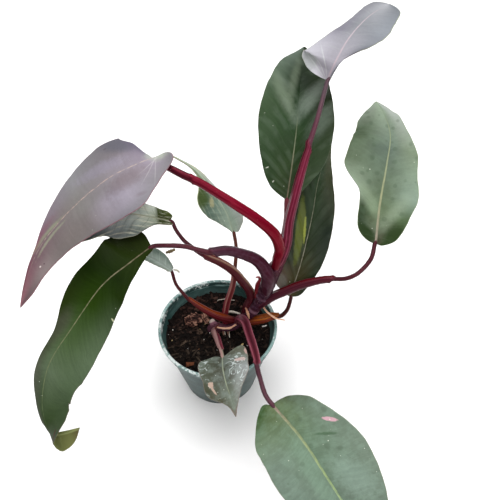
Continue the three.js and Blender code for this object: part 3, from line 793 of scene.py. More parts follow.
@dataclass(frozen=True)
class PotFinish:
    """Teal-green nursery plastic, faded outside, with white mineral scale on the rim and inside it."""

    plastic: int = 0x293D3A
    inside: int = 0x29423F
    faded: int = 0x8FB0AC
    scale: int = 0xD6DEDC
    shadow: int = 0x1C3230
    foot_radius: float = 33
    step_radius: float = 45.6
    step_z: float = 63
    top_z: float = 76
    lip_radius: float = 50.4

    def material(self, name: str) -> Material:
        """Builds the plastic.

        Args:
            name: Its name.

        Returns:
            The material.
        """
        graph, material, shader = Graph.of_material(name)
        place = graph.node("ShaderNodeTexCoord").outputs["Object"]
        x, y, z = graph.parts(place)
        squares = graph.math("ADD", graph.math("POWER", x, 2), graph.math("POWER", y, 2))
        radius = graph.math("SQRT", squares)
        level = graph.math("DIVIDE", z, MM)
        wall = {0: level, 1: 0.0, 2: self.step_z, 3: self.foot_radius, 4: self.step_radius}
        outline = graph.node("ShaderNodeMapRange", wall).outputs[0]
        inner = graph.span(graph.minus(graph.math("DIVIDE", radius, MM), outline), -0.4, -1.2)
        collar = graph.span(level, self.step_z, self.step_z + 0.8)
        within = graph.span(graph.math("DIVIDE", radius, MM), self.lip_radius, self.lip_radius - 1)
        inner = graph.math("MAXIMUM", inner, graph.times(collar, within))
        graph.colour = graph.mix(inner, ink(self.plastic), ink(self.inside))
        worn = graph.use(mottle, Place=place, Scale=45, Amount=0.3)
        graph.shade(worn["Level"])
        graph.tint(worn["Mask"], self.faded, 0.12)
        rings = graph.noise(graph.stretch(place, 12, 12, 700), 1, 4)
        graph.tint(graph.span(rings, 0.42, 0.62, 0, 0.75), self.shadow)
        lip = graph.span(level, self.top_z - 2.2, self.top_z - 0.6)
        graph.tint(lip, self.faded, 0.6)
        pits = graph.span(graph.noise(place, 380, 3, 0.6), 0.56, 0.68, 0, 0.7)
        graph.tint(graph.times(pits, lip), self.shadow)
        streaks = graph.noise(graph.stretch(place, 40, 40, 260), 1, 5, 0.65)
        high = graph.span(level, self.top_z - 11, self.top_z - 3)
        streak = graph.times(graph.span(streaks, 0.55, 0.7), graph.times(high, 0.8))
        graph.tint(streak, self.faded)
        crusted = graph.span(level, self.top_z - 12, self.top_z - 2, 0.2, 0.4)
        near_lip = graph.math("MAXIMUM", lip, graph.times(inner, high))
        wet = graph.times(near_lip, self._side(graph, x, y))
        amount = graph.times_plus(wet, 0.11, crusted)
        scale = graph.use(crust, Place=place, Amount=amount)
        graph.tint(scale["Mask"], self.scale, 0.85)
        graph.dress(shader, graph.span(scale["Mask"], 0, 1, 0.45, 0.85), 0.3)
        height = graph.times_plus(scale["Mask"], 0.6, graph.times(rings, 0.25))
        graph.relief(shader, height, 0.6, 0.4)
        return material

    @staticmethod
    def _side(graph: Graph, x: Socket, y: Socket) -> Socket:
        """Gives 1 on the left of the rim, where most water dried, falling to 0 at the rear right."""
        return graph.span(graph.times_plus(y, -0.35, graph.times(x, -1)), -0.04, 0.05)


@dataclass(frozen=True)
class CrumbFinish:
    """Crumbs of the mix: a ramp turns each one's tone into its colour, which drifts from front to rear."""

    tones: Ramp
    roughness: float = 0.9
    drift: Ramp = ((0, 0xFFFFFF), (1, 0xFFFFFF))
    drift_reach: float = 30

    def material(self, name: str) -> Material:
        """Builds the surface.

        Args:
            name: Its name.

        Returns:
            The material.
        """
        graph, material, shader = Graph.of_material(name)
        place = graph.node("ShaderNodeTexCoord").outputs["Object"]
        tone, _, _ = graph.parts(graph.kept("crumb_tone"))
        grain = graph.noise(place, 900, 5, 0.7)
        graph.colour = graph.ramp(tone, self.tones)
        shade = graph.use(mottle, Place=place, Scale=600, Amount=0.5)
        graph.shade(shade["Level"])
        _, depth, _ = graph.parts(place)
        drift = graph.ramp(graph.span(depth, -self.drift_reach * MM, self.drift_reach * MM), self.drift)
        graph.shade(drift)
        rough = graph.span(grain, 0.3, 0.7, self.roughness - 0.2, self.roughness)
        graph.dress(shader, rough, 0.12)
        graph.relief(shader, grain, 0.9, 0.8)
        return material


@dataclass
class Blade:
    """A leaf blade. Its rows run from midrib to edge as side veins do, and bend with the midrib's route."""

    name: str
    slot: str
    midrib: Sequence[Point]
    faces: Sequence[Point]
    right: Sequence[Point]
    left: Sequence[Point]
    wave: Point
    finish: LeafFinish
    folds: Mapping[Side, Point] = field(default_factory=lambda: dict.fromkeys(Side, (6, 6, 6)))
    rows: int = 120
    thickness: float = 0.95
    vein_gap: float = 13
    sweep: float = 1.6
    lobe_lift: float = 0.02
    knee: float = 0.4
    rib_depth: float = 1.5
    rib_half: float = 1.5
    rib_furrow: float = 0.35
    ragged: float = 0.08
    nicks: Pair = (61, 113)
    swell: float = 0.9
    swell_size: Pair = (21, 17)
    end_taper: float = 0.012
    edge_taper: float = 0.03
    vein_width: float = 0.16
    route: Route = field(init=False)

    def __post_init__(self) -> None:
        """Lays the midrib and both outlines."""
        self.route = Route(self.midrib)
        self.length = self.route.length
        self.outlines = {
            side: Route([(0, 1.5), *points, (self.length, 0.35)])
            for side, points in ((Side.RIGHT, self.right), (Side.LEFT, self.left))
        }
        self.veins = max(4, round(self.length / self.vein_gap))

    def columns(self) -> Array:
        """Gives the distances across a blade, close together at the midrib and at the edges."""
        half = np.array([
            0, 0.012, 0.024, 0.04, 0.06, 0.085, 0.12, 0.17, 0.23, 0.3, 0.38, 0.46, 0.54, 0.62, 0.7, 0.77,
            0.83, 0.88, 0.92, 0.95, 0.972, 0.988, 0.997, 1,
        ])
        return np.concatenate([-half[:0:-1], half])

    def up_at(self, along: Array, tangent: Array) -> Array:
        """Gives the way that the upper face looks.

        Args:
            along: Shares of the midrib.
            tangent: The midrib's heading there.

        Returns:
            Unit vectors at right angles to the heading.
        """
        stops = np.array(self.faces)
        up = np.stack([np.interp(along, stops[:, 0], stops[:, axis]) for axis in (1, 2, 3)], -1)
        return unit(up - tangent * np.sum(up * tangent, -1, keepdims=True))

    def fold_at(self, along: Array, column: Array) -> Array:
        """Gives the upward fold of the blade's halves.

        Args:
            along: Shares of the midrib.
            column: Distances across, negative on the left half.

        Returns:
            Angles in radians.
        """
        angles = []
        for side in Side:
            base, knee, tip = self.folds[side]
            near = base + (knee - base) * smooth(along, 0, self.knee)
            far = knee + (tip - knee) * smooth(along, self.knee, 1)
            angles.append(np.where(along < self.knee, near, far))
        return np.radians(np.where(column < 0, *angles))

    def surface(self) -> tuple[Array, Array, dict[str, Array]]:
        """Works out the middle surface.

        Returns:
            Places and normals of the upper face, and the numbers that shape and paint it.
        """
        share = np.linspace(0, 1, self.rows + 1)[:, None]
        column = self.columns()[None, :]
        sign = np.where(column < 0, -1.0, 1.0)
        edge = np.where(sign[..., None] < 0, *(self.outlines[side].at(share) for side in Side))
        offset = float(len(self.name))
        broad, fine = self.nicks
        uneven = np.sin(broad * share + offset) + 0.7 * np.sin(fine * share + 2.3 * offset)
        calm = smooth(share, 0, 0.1) * smooth(share, 1, 0.85)
        edge[..., 1] += self.ragged * uneven * calm * np.where(sign < 0, 1, -1)
        root = self.length * share**self.sweep
        across = np.abs(column)
        x = root + (edge[..., 0] - root) * across
        y = np.maximum(0, edge[..., 1] * across)
        along = np.clip(x / self.length, 0, 1)
        tangent = self.route.heading(along)
        up = self.up_at(along, tangent)
        outward = np.cross(tangent, up) * sign[..., None]
        fold = self.fold_at(along, column)[..., None]
        height, count, turn = self.wave
        ripple = height * np.sin(2 * np.pi * (count * share + turn)) * np.sin(np.pi * share) * across**2
        lift = ripple + self.lobe_lift * np.minimum(0, x) ** 2 + self._buckle(x, y * sign, across)
        place = (
            self.route.at(along)
            + tangent * (x - along * self.length)[..., None]
            + outward * y[..., None] * np.cos(fold)
            + up * (y[..., None] * np.sin(fold) + lift[..., None])
        )
        normal = unit(up * np.cos(fold) - outward * np.sin(fold) * (across > 0.03)[..., None])
        reach = np.hypot(edge[..., 0] - root, edge[..., 1]) * (1 - across)
        phase = (share + 0.05 * across**2) * self.veins + np.zeros_like(x)
        kept = {"x": x, "y": y * sign, "phase": phase, "column": column + np.zeros_like(x), "margin": reach}
        return place, normal, kept

    def _buckle(self, x: Array, y: Array, across: Array) -> Array:
        """Gives a slow uneven swell of the skin, calm at the midrib.

        Args:
            x: Millimetres along the blade.
            y: Millimetres across it.
            across: Shares of the way from midrib to edge.

        Returns:
            Heights in millimetres.
        """
        offset = float(len(self.name) * 7.3)
        long, wide = self.swell_size
        swell = np.array([
            noise.noise(Vector((a / long + offset, b / wide, offset))) for a, b in zip(x.ravel(), y.ravel())
        ]).reshape(x.shape)
        return self.swell * swell * smooth(across, 0, 0.6)

    def mesh(self) -> Mesh:
        """Builds the blade as one closed skin with sunken veins above and raised ones below.

        Returns:
            The mesh.
        """
        place, normal, kept = self.surface()
        column = kept["column"]
        share = np.linspace(0, 1, self.rows + 1)[:, None]
        ends = np.sqrt(np.clip(np.minimum(share, 1 - share) / self.end_taper, 0, 1))
        rim = np.sqrt(np.clip((1 - np.abs(column)) / self.edge_taper, 0, 1))
        body = self.thickness / 2 * rim * ends
        off = np.abs(kept["phase"] % 1 - 0.5) * 2
        fade = smooth(np.abs(column), 1, 0.6) * smooth(np.abs(kept["y"]), 0.5, 4) * ends
        vein = np.exp(-((off / self.vein_width) ** 2)) * fade
        puff = np.sin(np.pi * off / 2) * fade
        size = 1 - 0.7 * share
        rib = np.exp(-((kept["y"] / (self.rib_half * size)) ** 2)) * size * ends
        above = body + (0.18 * puff - 0.12 * vein - self.rib_furrow * rib) * rim
        below = body + (0.2 * vein + 0.1 * puff) * rim + self.rib_depth * rib
        top = place + normal * above[..., None]
        bottom = place - normal * below[..., None]
        bottom[:, [0, -1]] = top[:, [0, -1]]
        bottom[[0, -1]] = top[[0, -1]]
        face = rim * ends
        flat = np.stack([kept["x"], kept["y"], face], -1)
        under = np.stack([kept["x"], kept["y"], -face], -1)
        net = np.stack([kept["phase"], kept["column"], kept["margin"]], -1)
        layers = {"leaf_flat": there_and_back(flat, under), "leaf_net": there_and_back(net, net)}
        return net_mesh(f"blade_{self.name}", there_and_back(top, bottom), layers)

    def under_midrib(self, share: float, depth: float) -> Point:
        """Gives a place below the midrib, for the stalk's end to run into.

        Args:
            share: Share of the midrib.
            depth: Millimetres below it.

        Returns:
            The place.
        """
        along = np.array([share])
        tangent = self.route.heading(along)
        place = self.route.at(along) - self.up_at(along, tangent) * depth
        return tuple(place[0])

    def build(self) -> None:
        """Makes the blade and dresses it."""
        material = self.finish.material(f"leaf_{self.name}_skin", self.length)
        add_piece(self.mesh(), material, self.slot, f"leaf_{self.name}")


@dataclass
class Limb:
    """A stem, stalk or root along places with a radius, which may carry an open sheath near its start."""

    name: str
    slot: str
    points: Sequence[Point]
    finish: SkinFinish
    nodes: tuple[str, ...] = ()
    sheath_point: int | None = None
    channel: tuple[Point, ...] = ((0, 0.3, 1),)
    groove: float = 0.3
    wing: float = 0.5
    tip_lean: float = 2.5
    rings: tuple[Pair, ...] = ()
    flare: float = 0.4
    opens: Pair = (0.02, 0.2)
    rough: float = 0.12
    sides: int = 32
    step: float = 1.3
    tail: Sequence[Point] = ()
    lip_length: float = 1.6
    ring_length: float = 1.4
    mouth: float = 0.5
    ridge: float = 0.85
    ridge_width: float = 0.26
    edge_width: float = 0.16
    cap_rings: int = 5

    def mesh(self) -> Mesh:
        """Builds the limb as one closed tube with rounded ends.

        Returns:
            The mesh.
        """
        route = Route([*self.points, *self.tail])
        length = route.length
        count = max(24, round(length / self.step))
        share = np.linspace(0, 1, count + 1)
        angle = np.linspace(-np.pi, np.pi, self.sides + 1)[None, :]
        place, tangent = route.at(share)[:, :3], route.heading(share)
        start, end = np.array(self.channel, float)[[0, -1]]
        hint = start + (end - start) * share[:, None]
        ahead = unit(hint - tangent * np.sum(hint * tangent, -1, keepdims=True))
        beside = np.cross(tangent, ahead)

        radius, inside = self._radii(route, share, angle)
        open_part = inside * smooth(share[:, None], *self.opens)
        dip = np.exp(-((angle / self.mouth) ** 2))
        walked = share[:, None] * length
        wave = 1 + 0.25 * np.sin(walked / 5.2) + 0.15 * np.sin(walked / 2.3)
        ridge = np.exp(-(((np.abs(angle) - self.ridge) / self.ridge_width) ** 2))
        edge = np.exp(-(((np.abs(angle) - self.ridge) / self.edge_width) ** 2))
        shape = radius * (1 - dip * (0.1 + self.groove * open_part)) + self.wing * ridge * open_part * wave
        shape = shape + self.rough * self._unevenness(share * length, angle[0])
        rows, shift, scale = self._capped(count)
        mean = shape.mean(1, keepdims=True)[rows]
        centre = place[rows] + tangent[rows] * shift * mean
        cosine, sine = np.cos(angle)[..., None], np.sin(angle)[..., None]
        out = ahead[rows][:, None] * cosine + beside[rows][:, None] * sine
        net = centre[:, None] + out * (shape[rows] * scale)[..., None]
        flat = np.zeros(net.shape[:2])
        reach = (share[rows][:, None] * length) + flat
        bar = np.stack([np.cos(angle) + flat, np.sin(angle) + flat, reach], -1)
        masks = np.stack([inside[rows] + flat, (dip * open_part)[rows], (edge * open_part)[rows]], -1)
        self.length = length
        return net_mesh(self.name, net, {"limb_bar": bar, "limb_sheath": masks})

    def _radii(self, route: Route, share: Array, angle: Array) -> tuple[Array, Array]:
        """Works out how thick the limb is, with its sheath, the sheath's lip and its knuckles.

        Args:
            route: The limb's line.
            share: Shares of its length, one a row.
            angle: Angles around it, one a column.

        Returns:
            The radii, and how far each place is inside the sheath, from 0 to 1.
        """
        length = route.length
        inside = np.zeros((len(share), angle.size))
        radius = np.maximum(0.25, route.at(share)[:, 3])[:, None] + inside
        if self.sheath_point is not None:
            radii = route.points[:, 3]
            shares = np.array([route.share_of(index) for index in range(len(radii))])
            last = self.sheath_point
            lean = self.tip_lean * np.cos(angle) / length
            stop = (shares[last] + shares[last + 1]) / 2 + lean
            inside = 1 - smooth(share[:, None] - stop, -0.5 / length, 0.7 / length)
            wrapped = np.interp(share, shares[: last + 1], radii[: last + 1])[:, None]
            bare = np.interp(share, shares[last + 1 :], radii[last + 1 :])[:, None]
            lip = self.flare * np.exp(-(((share[:, None] - stop) * length / self.lip_length) ** 2))
            radius = bare + (np.maximum(wrapped, bare + 0.35) + lip - bare) * inside
        for centre, swell in self.rings:
            radius = radius + swell * np.exp(-(((share[:, None] - centre) * length / self.ring_length) ** 2))
        return radius, inside

    def _capped(self, count: int) -> tuple[Array, Array, Array]:
        """Lists the tube's rings with those that round off its ends.

        Args:
            count: Number of the last ring along the limb.

        Returns:
            For each ring the place that it starts from, and its shift and its size in radii.
        """
        turn = np.arange(1, self.cap_rings + 1) / (self.cap_rings + 1) * np.pi / 2
        start = [(0, -1.0, 0.0), *((0, -np.cos(t), np.sin(t)) for t in turn)]
        end = [*((count, np.cos(t), np.sin(t)) for t in turn[::-1]), (count, 1.0, 0.0)]
        order = [*start, *((ring, 0.0, 1.0) for ring in range(count + 1)), *end]
        rows, shift, scale = (np.array(values) for values in zip(*order))
        return rows, shift[:, None], scale[:, None]

    def _unevenness(self, reach: Array, angle: Array) -> Array:
        """Gives lumps along and around the skin.

        Args:
            reach: Millimetres along it, one a row.
            angle: Angles around it, one a column.

        Returns:
            Heights between about -1 and 1.
        """
        offset = float(len(self.name))
        around = [(math.cos(a) * 1.3, math.sin(a) * 1.3) for a in angle]
        return np.array([
            [noise.turbulence(Vector((x, y, r / 2.6 + offset)), 3, False) for x, y in around] for r in reach
        ])

    def build(self) -> None:
        """Makes the limb and dresses it."""
        mesh = self.mesh()
        add_piece(mesh, self.finish.material(f"{self.name}_skin", self.length), self.slot, *self.nodes)


@dataclass
class DryScale:
    """A papery strip left where an old leaf fell, as a route with the half width at each place."""

    name: str
    points: Sequence[Point]
    finish: ScaleFinish = ScaleFinish()
    nodes: tuple[str, ...] = ()
    slot: str = "dry_scale"
    facing: Point = (0, -0.3, 1)
    thickness: float = 0.6
    arch: float = 0.45
    curl: float = 0.2
    rows: int = 40
    columns: int = 16

    def build(self) -> None:
        """Makes the strip, arched across with wavy edges, and dresses it."""
        route = Route(self.points)
        share = np.linspace(0, 1, self.rows + 1)[:, None]
        column = np.sin(np.linspace(-1, 1, self.columns + 1) * np.pi / 2)[None, :]
        line = route.at(share[:, 0])
        tangent = route.heading(share[:, 0])
        hint = np.array(self.facing, float)
        up = unit(hint - tangent * (tangent @ hint)[:, None])
        outward = np.cross(tangent, up)
        width = line[:, 3:4] * (1 + 0.12 * np.sin(share * 23))
        drop = (self.curl * np.sin(share * 17 + column) - self.arch * width) * column**2
        aside = outward[:, None] * (column * width)[..., None]
        place = line[:, None, :3] + aside + up[:, None] * drop[..., None]
        ends = np.sqrt(np.clip(np.minimum(share, 1 - share) / 0.05, 0, 1))
        taper = np.sqrt(np.clip((1 - np.abs(column)) / 0.25, 0, 1)) * ends
        half = (self.thickness / 2 * taper)[..., None] * up[:, None]
        top, bottom = place + half, place - half
        spot = np.stack([share + 0 * column, column + 0 * share, 0 * share * column], -1)
        layers = {"scale_place": there_and_back(spot, spot)}
        mesh = net_mesh(f"dry_{self.name}", there_and_back(top, bottom), layers)
        add_piece(mesh, self.finish.material(f"dry_{self.name}_skin"), self.slot, *self.nodes)


@dataclass
class NurseryPot:
    """The round pot: a thin tapered wall, a straight collar above a step, a rolled lip and a holed floor."""

    height: float = 76
    rim: float = 51
    base: float = 33
    wall: float = 1.6
    collar: float = 13
    collar_foot: float = 47.6
    step: float = 2
    lip_width: float = 2.6
    lip_depth: float = 3.2
    lip_overhang: float = 1
    holes: int = 6
    hole_radius: float = 4
    hole_ring: float = 22
    segments: int = 176
    hole_segments: int = 40
    crease: float = 50
    finish: PotFinish = PotFinish()

    def profile(self) -> list[Pair]:
        """Draws the wall's section from the middle of the outside round to the middle of the inside.

        Returns:
            Radii and heights in millimetres.
        """
        top, rim, base, wall = self.height, self.rim, self.base, self.wall
        foot = top - self.collar
        wall_top = self.collar_foot - self.step
        lip_in = rim - self.lip_width
        lip_foot = top - self.lip_depth
        collar_top = rim - self.lip_overhang
        inner_top = wall_top - wall
        inner_base = base - wall
        bottom = [(0, 0), (base - 1, 0), (base - 0.3, 0.3), (base, 1)]
        step = [(wall_top, foot - 1.4), (wall_top + 0.3, foot - 0.5), (self.collar_foot - 0.4, foot)]
        collar = [(self.collar_foot, foot + 0.5), (collar_top - 0.1, lip_foot - 0.1),
                  (collar_top + 0.3, lip_foot + 0.1)]
        lip = [
            (rim - 0.15, top - self.lip_depth * 0.75),
            (rim, top - self.lip_depth / 2),
            (rim - 0.15, top - 0.8), (rim - 0.5, top - 0.25),
            (rim - self.lip_width / 2, top), (lip_in + 0.5, top - 0.25),
            (lip_in + 0.1, top - 0.8), (lip_in, top - 1.8),
        ]
        inside = [(self.collar_foot - wall, foot + 0.6), (inner_top + 0.3, foot - 0.7),
                  (inner_top, foot - 1.4)]
        floor = [(inner_base, wall + 0.6), (inner_base - 0.6, wall), (0, wall)]
        return [*bottom, *step, *collar, *lip, *inside, *floor]

    def build(self) -> None:
        """Spins the wall, drills the floor and dresses the pot."""
        net = bmesh.new()
        corners = [net.verts.new((r * MM, 0, z * MM)) for r, z in self.profile()]
        for one, other in zip(corners, corners[1:]):
            net.edges.new((one, other))
        bmesh.ops.spin(
            net, geom=[*net.verts, *net.edges], cent=(0, 0, 0), axis=(0, 0, 1), angle=2 * math.pi,
            steps=self.segments, use_merge=True,
        )
        body = bpy.data.objects.new("pot_body", finished(net, "pot_body"))
        drills = bmesh.new()
        radius = self.hole_radius * MM
        for index in range(self.holes):
            angle = index / self.holes * 2 * math.pi
            x, y = self.hole_ring * math.cos(angle), self.hole_ring * math.sin(angle)
            bmesh.ops.create_cone(
                drills, cap_ends=True, segments=self.hole_segments, radius1=radius, radius2=radius,
                depth=4 * self.wall * MM,
                matrix=Matrix.Translation(Vector((x, y, self.wall / 2)) * MM),
            )
        cutter = bpy.data.objects.new("drain_drills", finished(drills, "drain_drills"))
        for made in (body, cutter):
            bpy.context.scene.collection.objects.link(made)
        cut = body.modifiers.new("drain_holes", "BOOLEAN")
        cut.operation, cut.object, cut.solver = "DIFFERENCE", cutter, "EXACT"
        bpy.context.view_layer.update()
        shown = body.evaluated_get(bpy.context.evaluated_depsgraph_get())
        mesh = bpy.data.meshes.new_from_object(shown)
        mesh.name = "nursery_pot"
        mesh.materials.clear()
        mesh.set_sharp_from_angle(angle=math.radians(self.crease))
        for made in (body, cutter):
            bpy.data.objects.remove(made)
        add_piece(mesh, self.finish.material("pot_plastic_skin"), "pot_plastic", "pot")


@dataclass
class PottingMix:
    """The soil: a plug with a lumpy top, strewn with shards of bark, crumbs and grains of perlite."""

    edge_z: float = 64.2
    middle_z: float = 65
    radius: float = 45.2
    edge_foot_z: float = 63.6
    shoulder_radius: float = 42.9
    shoulder_z: float = 61.4
    floor_radius: float = 30.9
    floor_z: float = 1.95
    rings: int = 56
    sides: int = 180
    edge_gap: float = 1.8
    bevel: float = 0.16
    seed: int = SEED
    crumbs: CrumbFinish = CrumbFinish(
        ((0, 0x070505), (0.35, 0x120D0B), (0.6, 0x241C19), (0.78, 0x37302C), (0.92, 0x504842), (1, 0x6E6254)),
        drift=((0, 0xFFF8E4), (1, 0xFFCCC0)),
    )
    perlite: CrumbFinish = CrumbFinish(((0, 0xB8B2A8), (1, 0xF2EFEA)), 0.95)
    bits: CrumbFinish = CrumbFinish(((0, 0x5A2A1A), (1, 0xB8A274)))

    def top(self, x: float, y: float) -> float:
        """Gives the mound's height at a place."""
        share = min(1.0, math.hypot(x, y) / self.radius)
        return self.middle_z + (self.edge_z - self.middle_z) * share**2

    def lumps(self, x: float, y: float) -> float:
        """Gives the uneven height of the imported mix.

        Args:
            x: Millimetres to the right.
            y: Millimetres to the rear.

        Returns:
            Millimetres above the mound.
        """
        slow = noise.noise(Vector((x / 9, y / 9, 3.1)))
        quick = noise.turbulence(Vector((x / 3.4, y / 3.4, 7.7)), 3, False)
        return 1.3 * slow + 1.3 * quick - 0.7

    def plug(self) -> None:
        """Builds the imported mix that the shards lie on."""
        around = [(math.cos(a), math.sin(a)) for a in np.linspace(0, 2 * np.pi, self.sides + 1)]
        rows = [[(0, 0, self.middle_z)] * len(around)]
        for ring in range(1, self.rings + 1):
            reach = self.radius * ring / self.rings
            rows.append([
                (reach * x, reach * y, self.top(reach, 0) + self.lumps(reach * x, reach * y))
                for x, y in around
            ])
        wall = [(self.radius, self.edge_foot_z), (self.shoulder_radius, self.shoulder_z),
                (self.floor_radius, self.floor_z), (0, self.floor_z)]
        for reach, level in wall:
            rows.append([(reach * x, reach * y, level) for x, y in around])
        net = np.array(rows)
        tone = np.zeros_like(net)
        tone[..., 0] = [
            [0.22 + 0.3 * noise.noise(Vector((x / 5, y / 5, 1.3))) for x, y, _ in row] for row in net
        ]
        mesh = net_mesh("packed_mix", net, {"crumb_tone": tone})
        add_piece(mesh, self.crumbs.material("packed_mix_skin"), "soil_mix", "soil")

    def scatter(
        self, name: str, count: int, half: tuple[Point, Point], tones: Pair, depth: float,
        finish: CrumbFinish, spots: Sequence[Point] = (),
    ) -> None:
        """Strews small broken pieces over the mix.

        Args:
            name: Name of the piece.
            count: How many are strewn at random.
            half: Smallest and largest half sizes.
            tones: Range of their tones.
            depth: How far their middles sink, in millimetres.
            finish: Their surface.
            spots: More pieces at chosen places: x, y, three half sizes and a turn in degrees.
        """
        chance = random.Random(f"{self.seed}{name}")
        net = bmesh.new()
        layer = net.verts.layers.float_vector.new("crumb_tone")
        strewn = []
        for _ in range(count):
            reach = (self.radius - self.edge_gap) * math.sqrt(chance.random())
            angle = chance.uniform(0, 2 * math.pi)
            size = [low + (high - low) * chance.random() ** 1.6 for low, high in zip(*half)]
            strewn.append((reach * math.cos(angle), reach * math.sin(angle), *size, chance.uniform(0, 360)))
        for x, y, a, b, c, turn in [*strewn, *spots]:
            roll, pitch = chance.gauss(0, 0.6), chance.gauss(0, 0.4)
            lean = Matrix.Rotation(roll, 4, "X") @ Matrix.Rotation(pitch, 4, "Y")
            level = self.top(x, y) + self.lumps(x, y) * 0.8 + c - depth
            turned = Matrix.Rotation(math.radians(turn), 4, "Z") @ lean
            where = Matrix.Translation(Vector((x, y, level)) * MM) @ turned
            made = bmesh.ops.create_cube(net, size=2, matrix=Matrix.Identity(4))["verts"]
            tone = chance.uniform(*tones)
            for vertex in made:
                pinch = 0.55 if vertex.co.x > 0 else 1
                bent = Vector((
                    vertex.co.x * a * chance.uniform(0.65, 1.1),
                    vertex.co.y * b * pinch * chance.uniform(0.6, 1.15),
                    vertex.co.z * c * chance.uniform(0.55, 1.15),
                ))
                vertex.co = where @ (bent * MM)
                vertex[layer] = (tone, 0, 0)
        bmesh.ops.bevel(
            net, geom=net.edges[:], offset=self.bevel * MM, offset_type="OFFSET", affect="EDGES", segments=1,
            profile=0.5, material=-1, clamp_overlap=True,
        )
        add_piece(finished(net, name, smooth_faces=False), finish.material(f"{name}_skin"), "soil_mix")

    def build(self) -> None:
        """Makes the plug and everything strewn on it."""
        self.plug()
        for name, count, half, tones, depth in (
            ("bark_chips", 260, ((1.8, 0.8, 0.35), (5.6, 2.2, 0.9)), (0.1, 0.9), 0.25),
            ("bark_shards", 900, ((0.8, 0.4, 0.25), (2.6, 1.1, 0.8)), (0.0, 0.85), 0.2),
            ("fine_crumbs", 1100, ((0.3, 0.25, 0.2), (0.9, 0.7, 0.5)), (0.0, 0.66), 0.1),
        ):
            self.scatter(name, count, half, tones, depth, self.crumbs)
        grains = [
            (40, 7.2, 3.0, 0.9, 0.6, 8), (6.2, -8.6, 0.8, 0.6, 0.5, 0), (8.5, -10, 0.6, 0.5, 0.4, 40),
            (-39.6, 2.9, 0.7, 0.6, 0.5, 20), (-12, -7, 0.6, 0.5, 0.4, 10),
        ]
        fine = ((0.2, 0.18, 0.15), (0.6, 0.5, 0.4))
        self.scatter("perlite_grains", 26, fine, (0, 1), 0.1, self.perlite, grains)
        bits = ((0.5, 0.4, 0.3), (0.9, 0.7, 0.5))
        self.scatter("red_crumbs", 3, bits, (0, 0.2), 0.1, self.bits, [(-22.5, -32.6, 3.8, 2.2, 1.2, 10)])
        self.scatter("tan_crumbs", 6, bits, (0.8, 1), 0.1, self.bits, [(20.8, -13.7, 2.2, 1.2, 0.9, 60)])


@dataclass
class BarkLump:
    """A lump of torn bark that lies on the soil, with a smaller splinter beside it."""

    at: Point = (-21.5, 13, 66.4)
    half: Point = (8, 6.8, 3.6)
    splinter_at: Point = (-11.2, 13.4, 67.4)
    splinter_half: Point = (2.8, 6, 2.4)
    finish: CrumbFinish = CrumbFinish(
        ((0, 0x0C0605), (0.35, 0x221210), (0.6, 0x3E2620), (0.82, 0x64443A), (1, 0x96705F))
    )

    def build(self) -> None:
        """Tears two balls into flaky lumps and dresses them."""
        net = bmesh.new()
        layer = net.verts.layers.float_vector.new("crumb_tone")
        lump = (self.at, self.half, 15, 0.08)
        splinter = (self.splinter_at, self.splinter_half, 20, 0.4)
        for at, half, turn, pale in (lump, splinter):
            made = bmesh.ops.create_icosphere(net, subdivisions=5, radius=1)["verts"]
            spin = Matrix.Rotation(math.radians(turn), 3, "Z")
            for vertex in made:
                ball = vertex.co.copy()
                grain = Vector((ball.x * 1.7, ball.y * 3.2, ball.z * 2.6))
                flake = noise.turbulence(grain + Vector(at), 5, True)
                knob = noise.noise(ball * 1.9 + Vector(at))
                push = 0.88 + 0.4 * knob + 0.36 * (flake - 0.45)
                # The tone follows the noises that push the skin out, so the hollows are painted darker as
                # shade and the knobs lighter, over the bark's own uneven tone.
                vertex[layer] = (max(0.0, min(1.0, 1.5 * flake - 0.25 + 0.5 * knob + pale)), 0, 0)
                sized = Vector(tuple(c * h for c, h in zip(ball * push, half)))
                vertex.co = (spin @ sized + Vector(at)) * MM
        add_piece(finished(net, "torn_bark"), self.finish.material("torn_bark_skin"), "bark", "bark_lump")


